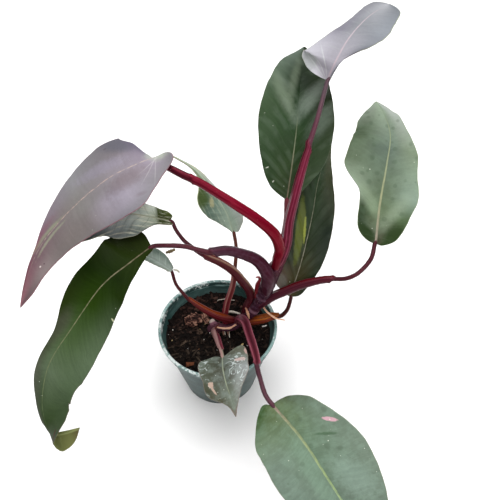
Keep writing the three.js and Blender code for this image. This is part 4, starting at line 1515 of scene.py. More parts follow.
@dataclass
class Studio:
    """Pale floor, soft lights and the camera."""

    floor_half: float = 3.0
    camera_at: Point = (0.0277, -0.3174, 0.5176)
    camera_tilt: float = 42.5
    field_of_view: float = 43.29
    sky: float = 0.3
    target: Point = (0, 0, 0.12)
    lights: tuple[tuple[str, Point, float, float], ...] = (
        ("overhead", (-0.1, 0.35, 1.7), 1.8, 44),
        ("front", (0.5, -1.3, 1.3), 1.4, 22),
    )

    def build(self) -> None:
        """Sets the floor, the pale surroundings, the lights and the camera."""
        self._floor()
        self._sky()
        self._lights()
        self._camera()

    def _floor(self) -> None:
        """Lays the floor."""
        net = bmesh.new()
        bmesh.ops.create_grid(net, x_segments=2, y_segments=2, size=self.floor_half)
        floor = bpy.data.objects.new("floor", finished(net, "floor"))
        bpy.context.scene.collection.objects.link(floor)
        graph, material, shader = Graph.of_material("pale_floor")
        place = graph.node("ShaderNodeTexCoord").outputs["Object"]
        shade = graph.use(mottle, Place=place, Scale=2, Amount=0.01)
        graph.colour = ink(0xFAFAFA)
        graph.shade(shade["Level"])
        graph.feed(shader.inputs["Base Color"], graph.colour)
        shader.inputs["Roughness"].default_value = 0.9
        floor.data.materials.append(material)

    def _sky(self) -> None:
        """Lights everything evenly from all around."""
        scene = bpy.context.scene
        scene.world = bpy.data.worlds.new("studio")
        scene.world.use_nodes = True
        sky = scene.world.node_tree.nodes["Background"]
        sky.inputs["Color"].default_value = (1, 1, 1, 1)
        sky.inputs["Strength"].default_value = self.sky
        scene.view_settings.view_transform = "Standard"

    def _lights(self) -> None:
        """Hangs the lamps, each turned to the plant."""
        for name, at, size, power in self.lights:
            lamp = bpy.data.lights.new(name, "AREA")
            lamp.shape, lamp.size, lamp.energy = "SQUARE", size, power
            holder = bpy.data.objects.new(name, lamp)
            holder.location = at
            holder.rotation_euler = (Vector(self.target) - Vector(at)).to_track_quat("-Z", "Y").to_euler()
            bpy.context.scene.collection.objects.link(holder)

    def _camera(self) -> None:
        """Sets the camera where the photograph was taken from."""
        view = bpy.data.cameras.new("camera")
        view.angle = math.radians(self.field_of_view)
        holder = bpy.data.objects.new("camera", view)
        holder.location = self.camera_at
        holder.rotation_euler = (math.radians(self.camera_tilt), 0, 0)
        bpy.context.scene.collection.objects.link(holder)
        bpy.context.scene.camera = holder


def top_blade() -> Blade:
    """Gives the grey-lilac blade at the top, its left half folded back at the base; its grey-lilac is painted
    sky reflection over its own burgundy-brown.
    """
    skin = LeafFinish(
        # The grey-lilac of these ramps is the leaf's burgundy-brown with a painted reflection of the sky over
        # it.
        core=((0, 0x8E8992), (0.5, 0x707277), (1, 0x95969B)),
        right=((0, 0x3F3D47), (0.5, 0x75797F), (1, 0x63676C)),
        left=((0, 0xC0BEC5), (0.4, 0x696771), (1, 0x78797E)),
        rib_breaks=0.3, strands=0.05, relief=0.15, rib=((0, 0x9B8D94), (1, 0x989194)), rib_width=(0.8, 0.5),
        rib_end=0.95, margin=0x91987A, vein=0x9BA29B, under=((0, 0x421E28), (1, 0x50282F)), specks=0.01,
        mottle=0.06,
        patches=(
            Patch((4, -22), (8, 8), 0x7A837A, 0.5),
            Patch((3, -13), (12, 0.45), 0xB8BCBA, 0.5, -77, 0.8, 0.6),
            Patch((7, -12), (13, 0.45), 0xB8BCBA, 0.45, -60, 0.8, 0.6),
            Patch((12, -8), (14, 0.45), 0xB8BCBA, 0.4, -34, 0.8, 0.6),
        ),
    )
    return Blade(
        "top", "leaf_grey_lilac",
        midrib=[(84, 85, 262), (89, 88, 275), (100, 106, 284), (117, 133, 286), (138, 166, 280)],
        faces=[(0, -0.45, -0.35, 0.8), (1, -0.25, -0.35, 0.9)],
        right=[
            (8, 3), (16, 4), (24, 7), (30, 12), (37, 18), (45, 22), (56, 23), (67, 21.5), (84, 19),
            (96, 15.5), (105, 9.5),
        ],
        left=[
            (-1, 8), (-1, 16), (1, 25), (4, 31), (15, 27), (32, 18), (48, 13), (68, 10.5), (89, 11),
            (100, 11), (106, 8.5),
        ],
        folds={Side.RIGHT: (-45, -12, 0), Side.LEFT: (8, 5, 5)}, wave=(0.6, 3, 1), finish=skin,
    )


def left_upper_blade() -> Blade:
    """Gives the large grey-lilac blade at the upper left, which hangs over with a burgundy edge; its
    grey-lilac is painted sky reflection over its own burgundy-brown.
    """
    skin = LeafFinish(
        # The grey-lilac of these ramps, with the paler lilac and darker slate patches, is a painted
        # reflection of the sky over the leaf's burgundy-brown.
        core=((0, 0x7C737F), (0.4, 0x6F6C6A), (0.75, 0x644E54), (1, 0x7E525A)),
        right=(
            (0, 0x5A5465), (0.15, 0x5A5458), (0.4, 0x757477), (0.7, 0x6E5B68), (0.88, 0x4E242F),
            (1, 0x532C37),
        ),
        left=((0, 0x6E6A6F), (0.2, 0x6D6A6F), (0.5, 0x635E5C), (0.8, 0x746868), (1, 0x4C363B)),
        rib_breaks=0.9, strands=0.05, relief=0.07,
        rib=((0, 0x918683), (0.4, 0xA28D86), (0.8, 0x85776E), (1, 0x775B59)),
        margin=0x775259, vein=0x9B9194, vein_strength=0.03,
        under=((0, 0x421E28), (1, 0x50212C)), specks=0.012,
        patches=(
            Patch((22, 31), (17, 8), 0x505059, 0.75, 30, 0.3, 0.5),
            Patch((38, -20), (20, 10), 0x918A98, 0.55, 0, 0.3, 0.6),
            Patch((-6, 3), (9, 7), 0x9FA996, 0.6, 0, 0.5, 0.5),
            Patch((112, 3), (26, 1.6), 0x868F71, 0.5, 4, 1.2, 0.5),
            Patch((104, -3), (18, 1), 0x8F967C, 0.5, 0, 1.2, 0.5),
            Patch((129, -9), (0.9, 0.6), 0xC8BCB8, 0.9, 20, 0.6, 0.3),
            Patch((125, -11), (0.8, 0.6), 0x4A3A40, 0.8, 20, 0.6, 0.3),
            Patch((2, -4), (13, 0.4), 0xA8A4A4, 0.3, -22, 1, 0.6),
            Patch((4, -7), (12, 0.4), 0xA8A4A4, 0.3, -42, 1, 0.6),
            Patch((2, -10), (11, 0.4), 0xA8A4A4, 0.25, -62, 1, 0.6),
            Patch((18, -24), (3, 1.4), 0x5E4E54, 0.3, 10, 1.4, 0.7),
            Patch((24, -8), (16, 6), 0x5C4E50, 0.45, -10, 1.6, 0.6),
            Patch((40, 14), (20, 6), 0x837D8C, 0.45, 10, 1.8, 0.6),
            Patch((34, 32), (1.2, 0.9), 0x4E464E, 0.7, 0, 0.6, 0.4),
            Patch((70, -20), (30, 8), 0x6E6462, 0.35, 8, 1, 0.8),
            Patch((126, 6), (26, 4), 0x6E2438, 0.5, -4, 0.6, 0.7),
        ),
    )
    return Blade(
        "left_upper", "leaf_grey_lilac",
        midrib=[
            (-44, 43, 224), (-59, 35, 222), (-77, 30, 214), (-103, 23, 194), (-129, 13, 168),
            (-142, -1, 149), (-150, -21, 128),
        ],
        faces=[(0, -0.1, -0.3, 0.95), (1, -0.45, -0.5, 0.75)],
        right=[
            (2, 10), (3, 20), (5, 31), (13, 38), (27, 39), (42, 38), (58, 34), (79, 24), (104, 13),
            (125, 4),
        ],
        left=[
            (-6, 1), (-11, 2), (-14, 6), (-12, 11), (-1, 17), (11, 26), (20, 33), (34, 34), (66, 29),
            (94, 24), (145, 13),
        ],
        folds={Side.RIGHT: (-20, -12, 0), Side.LEFT: (-5, -5, 0)}, wave=(1, 3, 0.5), finish=skin,
    )


def back_left_blade() -> Blade:
    """Gives the broad dark blade behind, with painted grey sheen along its side veins."""
    skin = LeafFinish(
        core=((0, 0x38462C), (0.4, 0x1B3016), (0.7, 0x0E1A0A), (1, 0x2A3426)),
        right=((0, 0x40503A), (0.5, 0x16200C), (1, 0x162410)),
        left=((0, 0x263A20), (0.5, 0x2E3F28), (1, 0x545F56)),
        # Sheen is painted between the side veins in this colour and strength.
        painted_sheen=0x9AA898, painted_sheen_strength=0.06, rib=((0, 0x857763), (0.3, 0x6E735C), (1, 0x5C6752)),
        rib_end=0.5, margin=0x4D523D, margin_width=0.5, vein=0x5E6E59,
        vein_strength=0.06, specks=0.02, mottle=0.16, gloss=0.07, roughness=0.38,
        # The first four patches are painted sheen; the last two are white flecks.
        patches=(
            Patch((104, -5), (24, 3), 0x66725F, 0.4, 4, 0.6, 0.8),
            Patch((86, -14), (22, 4.6), 0x65715F, 0.5, -28, 0.7, 0.8),
            Patch((84, 10), (20, 5), 0x6A756A, 0.55, 30, 0.7, 0.8),
            Patch((64, 18), (14, 5), 0x5E6A5E, 0.5, 32, 0.7, 0.8),
            Patch((27, -19), (1.3, 0.45), 0xB8BCAE, 0.9, 60, 0.8, 0.2),
            Patch((16, -13), (1, 0.5), 0xB8BCAE, 0.9, 30, 0.8, 0.2),
        ),
    )
    return Blade(
        "back_left", "leaf_dark_green",
        midrib=[(57, 50, 176), (60, 58, 205), (63, 73, 228), (66, 101, 243), (73, 160, 246)],
        faces=[(0, 0, -0.75, 0.65), (1, 0, -0.6, 0.8)],
        right=[(7, 9), (17, 15), (28, 22), (40, 26), (54, 28), (66, 28), (84, 25), (114, 19), (131, 13)],
        left=[(5, 8), (12, 15), (21, 20), (32, 24), (47, 28), (62, 30), (73, 29), (95, 24.5), (122, 17.5)],
        folds=dict.fromkeys(Side, (8, 8, 8)), wave=(0.8, 4, 0), sweep=2.2, finish=skin,
    )


def back_right_blade() -> Blade:
    """Gives the narrow dark blade behind the stem, with an olive band."""
    skin = LeafFinish(
        core=((0, 0x3F3720), (0.3, 0x131E05), (1, 0x31472F)),
        right=((0, 0x1F2814), (0.4, 0x051505), (1, 0x495036)),
        left=((0, 0x765A4C), (0.2, 0x0A1605), (1, 0x182506)),
        # Sheen is painted between the side veins in this colour and strength.
        rib_breaks=0.5, painted_sheen=0x6A7864, painted_sheen_strength=0.08, rib=((0, 0x777163), (1, 0x54604D)),
        rib_width=(0.6, 0.4), margin=0x776959, margin_width=0.7, vein=0x505C49,
        vein_strength=0.06, mottle=0.16,
        patches=(
            Patch((56, -7.5), (27, 3.6), 0x4D551A, 0.85, -6, 0.5, 0.25),
            Patch((57, -3.6), (11, 1), 0x838A36, 0.8, -9, 1.4, 0.35),
            Patch((9, -12), (8, 6), 0x57544E, 0.7, 0, 0.4, 0.4),
        ),
    )
    return Blade(
        "back_right", "leaf_dark_green",
        midrib=[(61, 10, 103), (70, 27, 127), (79, 55, 152), (85, 82, 168), (99, 126, 176)],
        faces=[(0, 0, -0.75, 0.65), (1, 0, -0.65, 0.75)],
        right=[
            (3, 7), (8, 10), (15, 12), (24, 15), (37, 18), (52, 19), (70, 18), (88, 16), (108, 11),
            (127, 5),
        ],
        left=[(4, 10), (8, 15), (19, 18), (42, 18), (69, 19), (84, 18), (95, 16), (110, 11), (127, 6)],
        wave=(0.6, 3, 0.8), sweep=2.2, finish=skin,
    )


def right_blade() -> Blade:
    """Gives the grey-green blade at the right, with two dark lobes."""
    skin = LeafFinish(
        core=((0, 0x363526), (0.2, 0x515F45), (0.6, 0x505E52), (1, 0x8A9A84)),
        right=((0, 0x263410), (0.16, 0x405233), (0.3, 0x728374), (0.6, 0x64725C), (1, 0xABB0AD)),
        left=(
            (0, 0x0A1C04), (0.22, 0x1E2E10), (0.34, 0x7F8D7A), (0.5, 0x53624B), (0.8, 0x41503A),
            (1, 0x899486),
        ),
        blots=0.07, blot=0x8CA68C, blot_scale=0.1, strands=0.08, spots=0.55, spot=0x33462F,
        rib=((0, 0x857A6E), (0.3, 0x8A8D6C), (1, 0x73836A)), rib_width=(1.3, 0.35), rib_end=0.98,
        margin=0x788563, vein=0x788A71, vein_strength=0.05, specks=0.05, mottle=0.1,
        # The first two patches are painted sheen; the last two are the dark lobes.
        patches=(
            Patch((26, 12), (16, 4.5), 0x86957F, 0.45, 35, 0.6, 0.9),
            Patch((34, -9), (14, 4), 0x7E8F75, 0.5, -40, 0.5, 0.8),
            Patch((9, -12), (13, 6), 0x162A02, 0.95, -60, 0.5, 0.3),
            Patch((4, 14), (13, 8), 0x1A2E04, 0.95, 20, 0.5, 0.4),
        ),
    )
    return Blade(
        "right", "leaf_grey_green",
        midrib=[
            (128, 26, 150), (131, 48, 172), (137, 73, 191), (142, 98, 202), (139, 118, 208),
            (134, 135, 210),
        ],
        faces=[(0, -0.1, -0.75, 0.65), (1, -0.05, -0.6, 0.8)],
        right=[
            (-1, 5), (2, 13), (7, 18), (15, 22), (27, 26), (38, 29), (48, 28), (60, 25), (76, 23), (94, 14),
            (108, 10.5), (115, 6.5),
        ],
        left=[
            (3, 8), (10, 14.5), (20, 16.5), (33, 16.5), (42, 19.5), (52, 30), (60, 34), (70, 33), (84, 31),
            (98, 28.5), (108, 25), (116, 20.5), (122, 14.5), (126, 7),
        ],
        wave=(0.7, 3, 0.2), finish=skin,
    )


def front_right_blade() -> Blade:
    """Gives the grey-green blade that reaches out to the front, with one pink fleck."""
    skin = LeafFinish(
        core=((0, 0x4C5937), (0.3, 0x576A57), (0.7, 0x4E5A4F), (1, 0x5B685C)),
        right=((0, 0x263E11), (0.12, 0x5C6D57), (0.3, 0x5B6A5D), (1, 0x5B6B61)),
        left=((0, 0x353D25), (0.2, 0x5C6B5C), (0.5, 0x5E6C5E), (1, 0x505E51)),
        blots=0.1, blot=0x8AA694, blot_scale=0.16, spots=0.3, speck_scale=0.42,
        rib=((0, 0x86706A), (0.15, 0x7C8060), (0.5, 0x7F9062), (1, 0x8A9E7E)), rib_width=(1.3, 0.8),
        rib_end=1.2, rib_breaks=0.5, margin=0x7C816C, margin_width=0.6, vein=0x6C8570, vein_strength=0.05,
        specks=0.1, mottle=0.1,
        patches=(
            Patch((36, -24.4), (4.8, 1.25), 0xB08C94, 1, -49, 0.9, 0.12),
            Patch((41, -16), (7, 0.9), 0x2A4428, 0.6, -60, 1.2, 0.5),
            Patch((74, -16), (16, 9), 0x778B7E, 0.5, -20, 1.2, 0.6),
            Patch((62, 6), (30, 5), 0x69816E, 0.4, 0, 1.2, 0.6),
        ),
    )
    return Blade(
        "front_right", "leaf_grey_green",
        midrib=[(44, -91, 104), (64, -119, 106), (83, -148, 98), (101, -171, 84), (117, -189, 66)],
        faces=[(0, -0.1, -0.55, 0.83), (1, 0.1, -0.6, 0.8)],
        right=[
            (-4, 4), (-4, 9), (4, 20), (15, 29), (26, 31), (48, 33), (60, 32), (74, 29), (89, 25),
            (117, 12),
        ],
        left=[(2, 8), (6, 15), (17, 24), (26, 27), (42, 33), (56, 36), (74, 34), (93, 28), (115, 17)],
        folds=dict.fromkeys(Side, (5, 5, 5)), wave=(0.8, 3, 0.4), finish=skin,
    )


def left_lower_blade() -> Blade:
    """Gives the long dark blade at the lower left, whose tip curls up."""
    skin = LeafFinish(
        # The paler grey-green middle of these ramps, and the grey patch at 95 mm, are painted sheen over the
        # dark green.
        core=(
            (0, 0x242E10), (0.2, 0x0E1C00), (0.34, 0x1E3008), (0.5, 0x3E5030), (0.65, 0x4E5C46),
            (0.85, 0x28371A),
        ),
        right=((0, 0x1E260A), (0.25, 0x0A1600), (0.5, 0x26320F), (0.7, 0x4C5044), (1, 0x26321A)),
        left=((0, 0x1A2806), (0.25, 0x122000), (0.5, 0x4E5E46), (0.75, 0x384630), (1, 0x243216)),
        rib_breaks=0.5, rib=((0, 0x685C4C), (0.4, 0x6A6A50), (0.8, 0x5C6848), (1, 0x4C5A3A)),
        rib_width=(0.6, 0.38), rib_end=0.92, margin=0x5B544B, margin_width=0.7, vein=0x46583A,
        vein_strength=0.02,
        under=((0, 0x31231E), (0.8, 0x464D2C), (0.88, 0x6A7144), (0.96, 0x66693F), (1, 0x4A3A2A)),
        under_vein=0x7A7F52, gloss=0.03, roughness=0.5,
        patches=(
            Patch((95, 9), (14, 6), 0x4D4B44, 0.4, 0, 0.5, 0.7),
            Patch((150, 6), (16, 7), 0x26301C, 0.4, 10, 0.6, 0.7),
            Patch((176, -16), (3, 1.6), 0x3A2418, 0.8, 0, 0.8, 0.3),
            Patch((66, -21.5), (0.6, 1.5), 0xA8A88C, 0.9, 20, 0.8, 0.3),
        ),
    )
    return Blade(
        "left_lower", "leaf_dark_green",
        midrib=[
            (-46, 3, 172), (-58, -18, 178), (-77, -35, 172), (-97, -54, 152), (-118, -69, 124),
            (-124, -87, 104), (-120, -102, 95), (-116, -107, 89), (-109, -105, 86.5), (-98, -100, 86),
        ],
        faces=[
            (0, -0.2, -0.45, 0.85), (0.84, -0.45, -0.6, 0.6), (0.9, -0.7, -0.5, -0.2), (1, 0.1, 0.5, -0.85),
        ],
        right=[
            (-3, 5), (-7, 12), (-8, 20), (-4, 27), (4, 30), (16, 30), (30, 27), (44, 23.5), (58, 24),
            (77, 20), (105, 12), (138, 11), (160, 6),
        ],
        left=[
            (2, 3), (10, 4), (19, 6), (32, 11), (48, 19), (62, 22), (77, 25), (102, 30), (121, 29.6),
            (136, 27.4), (148, 26), (164, 25.4), (174, 22), (183, 15), (193, 8),
        ],
        folds={Side.RIGHT: (0, -4, -8), Side.LEFT: (-20, -8, 0)}, wave=(1, 4, 0.3), finish=skin,
    )


def left_middle_blade() -> Blade:
    """Gives the pale blade half hidden at the left, between the two large ones; its pale middle is partly
    painted sheen.
    """
    skin = LeafFinish(
        # The pale grey-white middle of these ramps is partly the leaf's own colour and partly painted sheen.
        core=((0, 0x283000), (0.13, 0x283000), (0.17, 0x8A9280), (0.5, 0xBCC8C8), (1, 0x3C413E)),
        right=((0, 0x323E00), (0.13, 0x323E00), (0.18, 0xB4BCB0), (0.6, 0xA0A6A4), (1, 0x363A37)),
        left=(
            (0, 0x283402), (0.13, 0x283402), (0.19, 0x525A52), (0.5, 0x788080), (0.7, 0x525A5C),
            (1, 0x353936),
        ),
        rib=((0, 0x6C7159), (0.3, 0x919481), (1, 0x777F77)), rib_width=(0.8, 0.4),
        margin=0x8B8B78, vein=0x2A3634, vein_strength=0.4, streaks=0.8, streak=0xC4C4B0, mottle=0.2,
    )
    return Blade(
        "left_middle", "leaf_grey_green",
        midrib=[(-34, 30, 172), (-47, 22, 184), (-64, 23, 186), (-87, 25, 176), (-117, 21, 156)],
        faces=[(0, -0.15, -0.35, 0.9), (1, -0.2, -0.45, 0.85)],
        right=[(-3, 5), (1, 8.5), (9, 9.5), (21, 9), (29, 10), (37, 13), (50, 16), (62, 14), (76, 10)],
        left=[(-1, 3.5), (6, 5), (16, 6), (23, 11), (28, 18), (40, 20), (50, 18), (61, 13), (81, 8)],
        wave=(0.5, 2, 0.6), vein_gap=7, finish=skin,
    )


def mid_back_blade() -> Blade:
    """Gives the small blade behind the stalks, turned away, with an olive patch."""
    skin = LeafFinish(
        core=((0, 0x8A9A8A), (0.3, 0x56685C), (0.45, 0x5E6E58), (0.7, 0x8F9B91), (1, 0x879072)),
        right=((0, 0x838A82), (0.4, 0x898F8C), (0.7, 0x969477), (1, 0x6E7D58)),
        left=((0, 0x6A786C), (0.25, 0x4E6054), (0.4, 0x2E3C1A), (0.55, 0x515E42), (1, 0x818C71)),
        rib=((0, 0x85917F), (1, 0x919B86)), rib_width=(0.8, 0.5), rib_end=0.95, margin=0x929877,
        vein=0x7C8A7F, vein_strength=0.25, streaks=0.18, specks=0.05, mottle=0.14,
        patches=(
            Patch((32, -7), (4, 2), 0x98906A, 0.6, 30, 1.4, 0.4),
            Patch((39, -13), (6, 7), 0x34421C, 0.85, 0, 0.6, 0.4),
        ),
    )
    return Blade(
        "mid_back", "leaf_grey_green",
        midrib=[(14, 53, 136), (7, 62, 152), (-4, 72, 166), (-18, 90, 172), (-33, 107, 170), (-47, 121, 166)],
        faces=[(0, 0, -0.6, 0.8), (1, 0.47, 0.5, 0.67)],
        right=[(-1, 4), (3, 8), (7, 11), (14, 12), (22, 10), (32, 8), (43, 5), (67, 2.5), (97, 2.5)],
        left=[(3, 3), (10, 8), (19, 14), (26, 17), (37, 18), (46, 10), (54, 5), (65, 3)],
        folds=dict.fromkeys(Side, (4, 4, 4)), wave=(0.4, 2, 0), vein_gap=8, finish=skin,
    )


def left_small_blade() -> Blade:
    """Gives the small streaked blade on the left, above the soil."""
    skin = LeafFinish(
        core=((0, 0x8C968E), (1, 0x7A8C82)),
        right=((0, 0x606E64), (0.5, 0x5A6A60), (1, 0x627066)),
        left=((0, 0x6E766A), (0.6, 0x66746A), (1, 0x98A29A)),
        rib=((0, 0x838D86), (1, 0x7F8B83)), rib_width=(0.6, 0.4), rib_end=0.95, margin=0x928F81,
        vein=0xA8B4AC, vein_strength=0.6, streaks=0.45, streak=0x9BA69F, specks=0.02, mottle=0.3,
    )
    return Blade(
        "left_small", "leaf_pale_green",
        midrib=[(-37, 24, 120), (-47, 26, 128), (-58, 31, 130), (-73, 37, 126)],
        faces=[(0, 0, -0.6, 0.8), (1, -0.1, -0.6, 0.8)],
        right=[(1, 3), (5, 5), (12, 8), (19, 9), (25, 8), (32, 6)],
        left=[(3, 3), (6, 3), (14, 4), (24, 4), (34, 2)],
        wave=(0.6, 3, 0), rows=80, vein_gap=6, finish=skin,
    )


def front_small_blade() -> Blade:
    """Gives the small blade in front of the pot, with cream and pink patches and mined lines."""
    skin = LeafFinish(
        core=((0, 0x3C3E34), (0.4, 0x37392E), (0.85, 0x6C7468), (1, 0x57463A)),
        right=((0, 0x495044), (0.5, 0x343727), (0.85, 0x464232), (1, 0x846C67)),
        left=((0, 0x515347), (0.3, 0x7E8080), (0.8, 0x62635A), (1, 0x756057)),
        blots=0.2, blot=0x93A29C, blot_scale=0.16, rib=((0, 0x777E70), (0.6, 0x7A816A), (1, 0x736757)),
        rib_end=0.75, margin=0x776C62, margin_width=0.6, vein=0x737E77, specks=0.22,
        speck_scale=0.6, mottle=0.16,
        patches=(
            Patch((6.5, -14), (2, 4.4), 0xA6948F, 1, 0, 1.6, 0.12),
            Patch((24.5, 11.6), (2.4, 1.9), 0x988375, 1, -27, 1.8, 0.12),
            Patch((28.5, 10.6), (3.6, 0.8), 0x988375, 1, -20, 1.2, 0.2),
            Patch((-2, -19.5), (3.2, 1.8), 0xA68A83, 0.9, 0, 1.4, 0.2),
        ),
        scribbles=(
            Patch((14, -11), (15, 8), 0xABB4B2, 0.85, 0, 0.6, 0.3),
            Patch((12, 16), (18, 5), 0xABB4B2, 0.7, 0, 0.6, 0.3),
        ),
    )
    return Blade(
        "front_small", "leaf_pale_green",
        midrib=[(6, -45, 96), (7, -59, 100), (10, -71, 98), (14, -80, 91), (17, -88, 80)],
        faces=[(0, -0.02, -0.5, 0.86), (1, 0, -0.75, 0.66)],
        right=[(-1, 7), (3, 14), (6, 18), (11, 19), (16, 18), (21, 17), (29, 17), (35, 13), (44, 4)],
        left=[(-3, 6), (-7, 11), (-8, 17), (0, 20), (13, 20), (20, 20), (25, 17), (31, 12), (36, 8), (43, 4)],
        folds=dict.fromkeys(Side, (4, 4, 4)), wave=(0.5, 3, 0.5), rows=90, vein_gap=7, finish=skin,
    )


def leaves() -> list[Blade]:
    """Gives the eleven blades with their sizes and finishes."""
    return [top_blade(), left_upper_blade(), back_left_blade(), back_right_blade(), right_blade(),
            front_right_blade(), left_lower_blade(), left_middle_blade(), mid_back_blade(),
            left_small_blade(), front_small_blade()]


def stalk_finishes() -> dict[str, SkinFinish]:
    """Gives the skin of each stalk.

    Returns:
        The finishes by leaf name.
    """
    return {
        "top": SkinFinish(
            bare=((0, 0x582333), (0.7, 0x51303B), (0.85, 0x4B3E44), (1, 0x423039)),
            sheath=((0, 0x340410), (0.2, 0x46081A), (0.45, 0x560E24), (0.8, 0x521C2C)), gloss=0.2,
            stripe=0x8E3C54, stripes=0.4, stripe_count=10, lip=0x8A3A4C, lip_strength=0.25, channel=0x2E0810,
        ),
        "left_upper": SkinFinish(
            bare=((0, 0x400812), (0.7, 0x340A14), (1, 0x301018)),
            # The sheath ramp brightens towards its middle, partly as a painted highlight along the stalk.
            sheath=((0, 0x3C0209), (0.15, 0x56020F), (0.35, 0x620419), (0.55, 0x4C0616), (0.75, 0x3A0814)),
            stripe=0x8A1A34, stripes=0.1, stripe_count=5, lip=0x7A1028, channel=0x4A0410, shine=0xFF4868,
            gloss=0.4, roughness=0.26,
        ),
        "left_lower": SkinFinish(
            bare=((0, 0x3C181E), (1, 0x3E1A20)),
            sheath=((0, 0x2A0814), (0.25, 0x300E1A), (0.5, 0x361C28), (0.62, 0x381C26), (0.75, 0x602228)),
            stripe=0x584050, stripes=0.1, lip=0x6A3A46, lip_strength=0.25, channel=0x3A1C28, bloom=0x54404E,
            bloom_strength=0.14,
        ),
        "left_middle": SkinFinish(
            bare=((0, 0x34121A), (1, 0x3C1C22)),
            sheath=((0, 0x300A10), (0.4, 0x3C1216), (0.6, 0x42191B), (0.8, 0x381820)), lip=0xB09078,
            lip_strength=0.6, channel=0x6E2A16, channel_strength=0.85, stripes=0.06,
        ),
        "right": SkinFinish(
            bare=((0, 0x42161E), (1, 0x3A181F)), sheath=((0, 0x2A0C16), (0.3, 0x36101A), (0.65, 0x44121C)),
            channel=0x5A040E, channel_strength=0.95, lip=0x6E3440, lip_strength=0.35, stripes=0.08,
        ),
        "front_right": SkinFinish(
            bare=((0, 0x3B1A21), (0.8, 0x402830), (1, 0x4B2E37)),
            sheath=((0, 0x4D232E), (0.2, 0x58212E), (0.6, 0x612833)), channel=0x2E0810,
            channel_strength=0.95, lip=0x92525E, lip_strength=0.6, stripe=0x8A4A58, stripes=0.4,
            stripe_count=7,
        ),
        "back_left": SkinFinish(
            bare=((0, 0x210505), (1, 0x7D3F47)), sheath=((0, 0x2E0506), (1, 0x340507)), stripes=0.2,
        ),
        "back_right": SkinFinish(
            bare=((0, 0x2C100E), (1, 0x321614)), sheath=((0, 0x4A1A0C), (0.4, 0x5A240A), (0.7, 0x5A2810)),
            channel=0x8A4A12, channel_strength=0.95, lip=0x9A5A1A, lip_strength=0.8, stripes=0.12,
        ),
        "left_small": SkinFinish(
            bare=((0, 0x401212), (0.7, 0x3A1214), (1, 0x361418)),
            sheath=((0, 0x38080C), (0.3, 0x420C0E), (0.6, 0x4E1C16)), channel=0x843C0E,
            channel_strength=0.85, lip=0x8A4A3A, lip_strength=0.3, stripes=0.1,
        ),
        "mid_back": SkinFinish(
            bare=((0, 0x4E2418), (1, 0x4A2A24)), sheath=((0, 0x5A0E1A), (0.2, 0x5E1A22), (0.6, 0x6A3A36)),
            channel=0x4A1414, channel_strength=0.9, lip=0x9A7E6E, lip_strength=0.5, stripes=0.2,
        ),
        "front_small": SkinFinish(
            bare=((0, 0x6A5048), (0.7, 0x7A6E62), (1, 0x7E786A)),
            sheath=((0, 0x4A1E28), (0.2, 0x5A2630), (0.6, 0x5E1E2A)), channel=0x4A1C28, channel_strength=0.8,
            lip=0x8A5A60, lip_strength=0.4, stripes=0.2, flank=0x8E6E6A, flank_strength=0.8,
        ),
    }


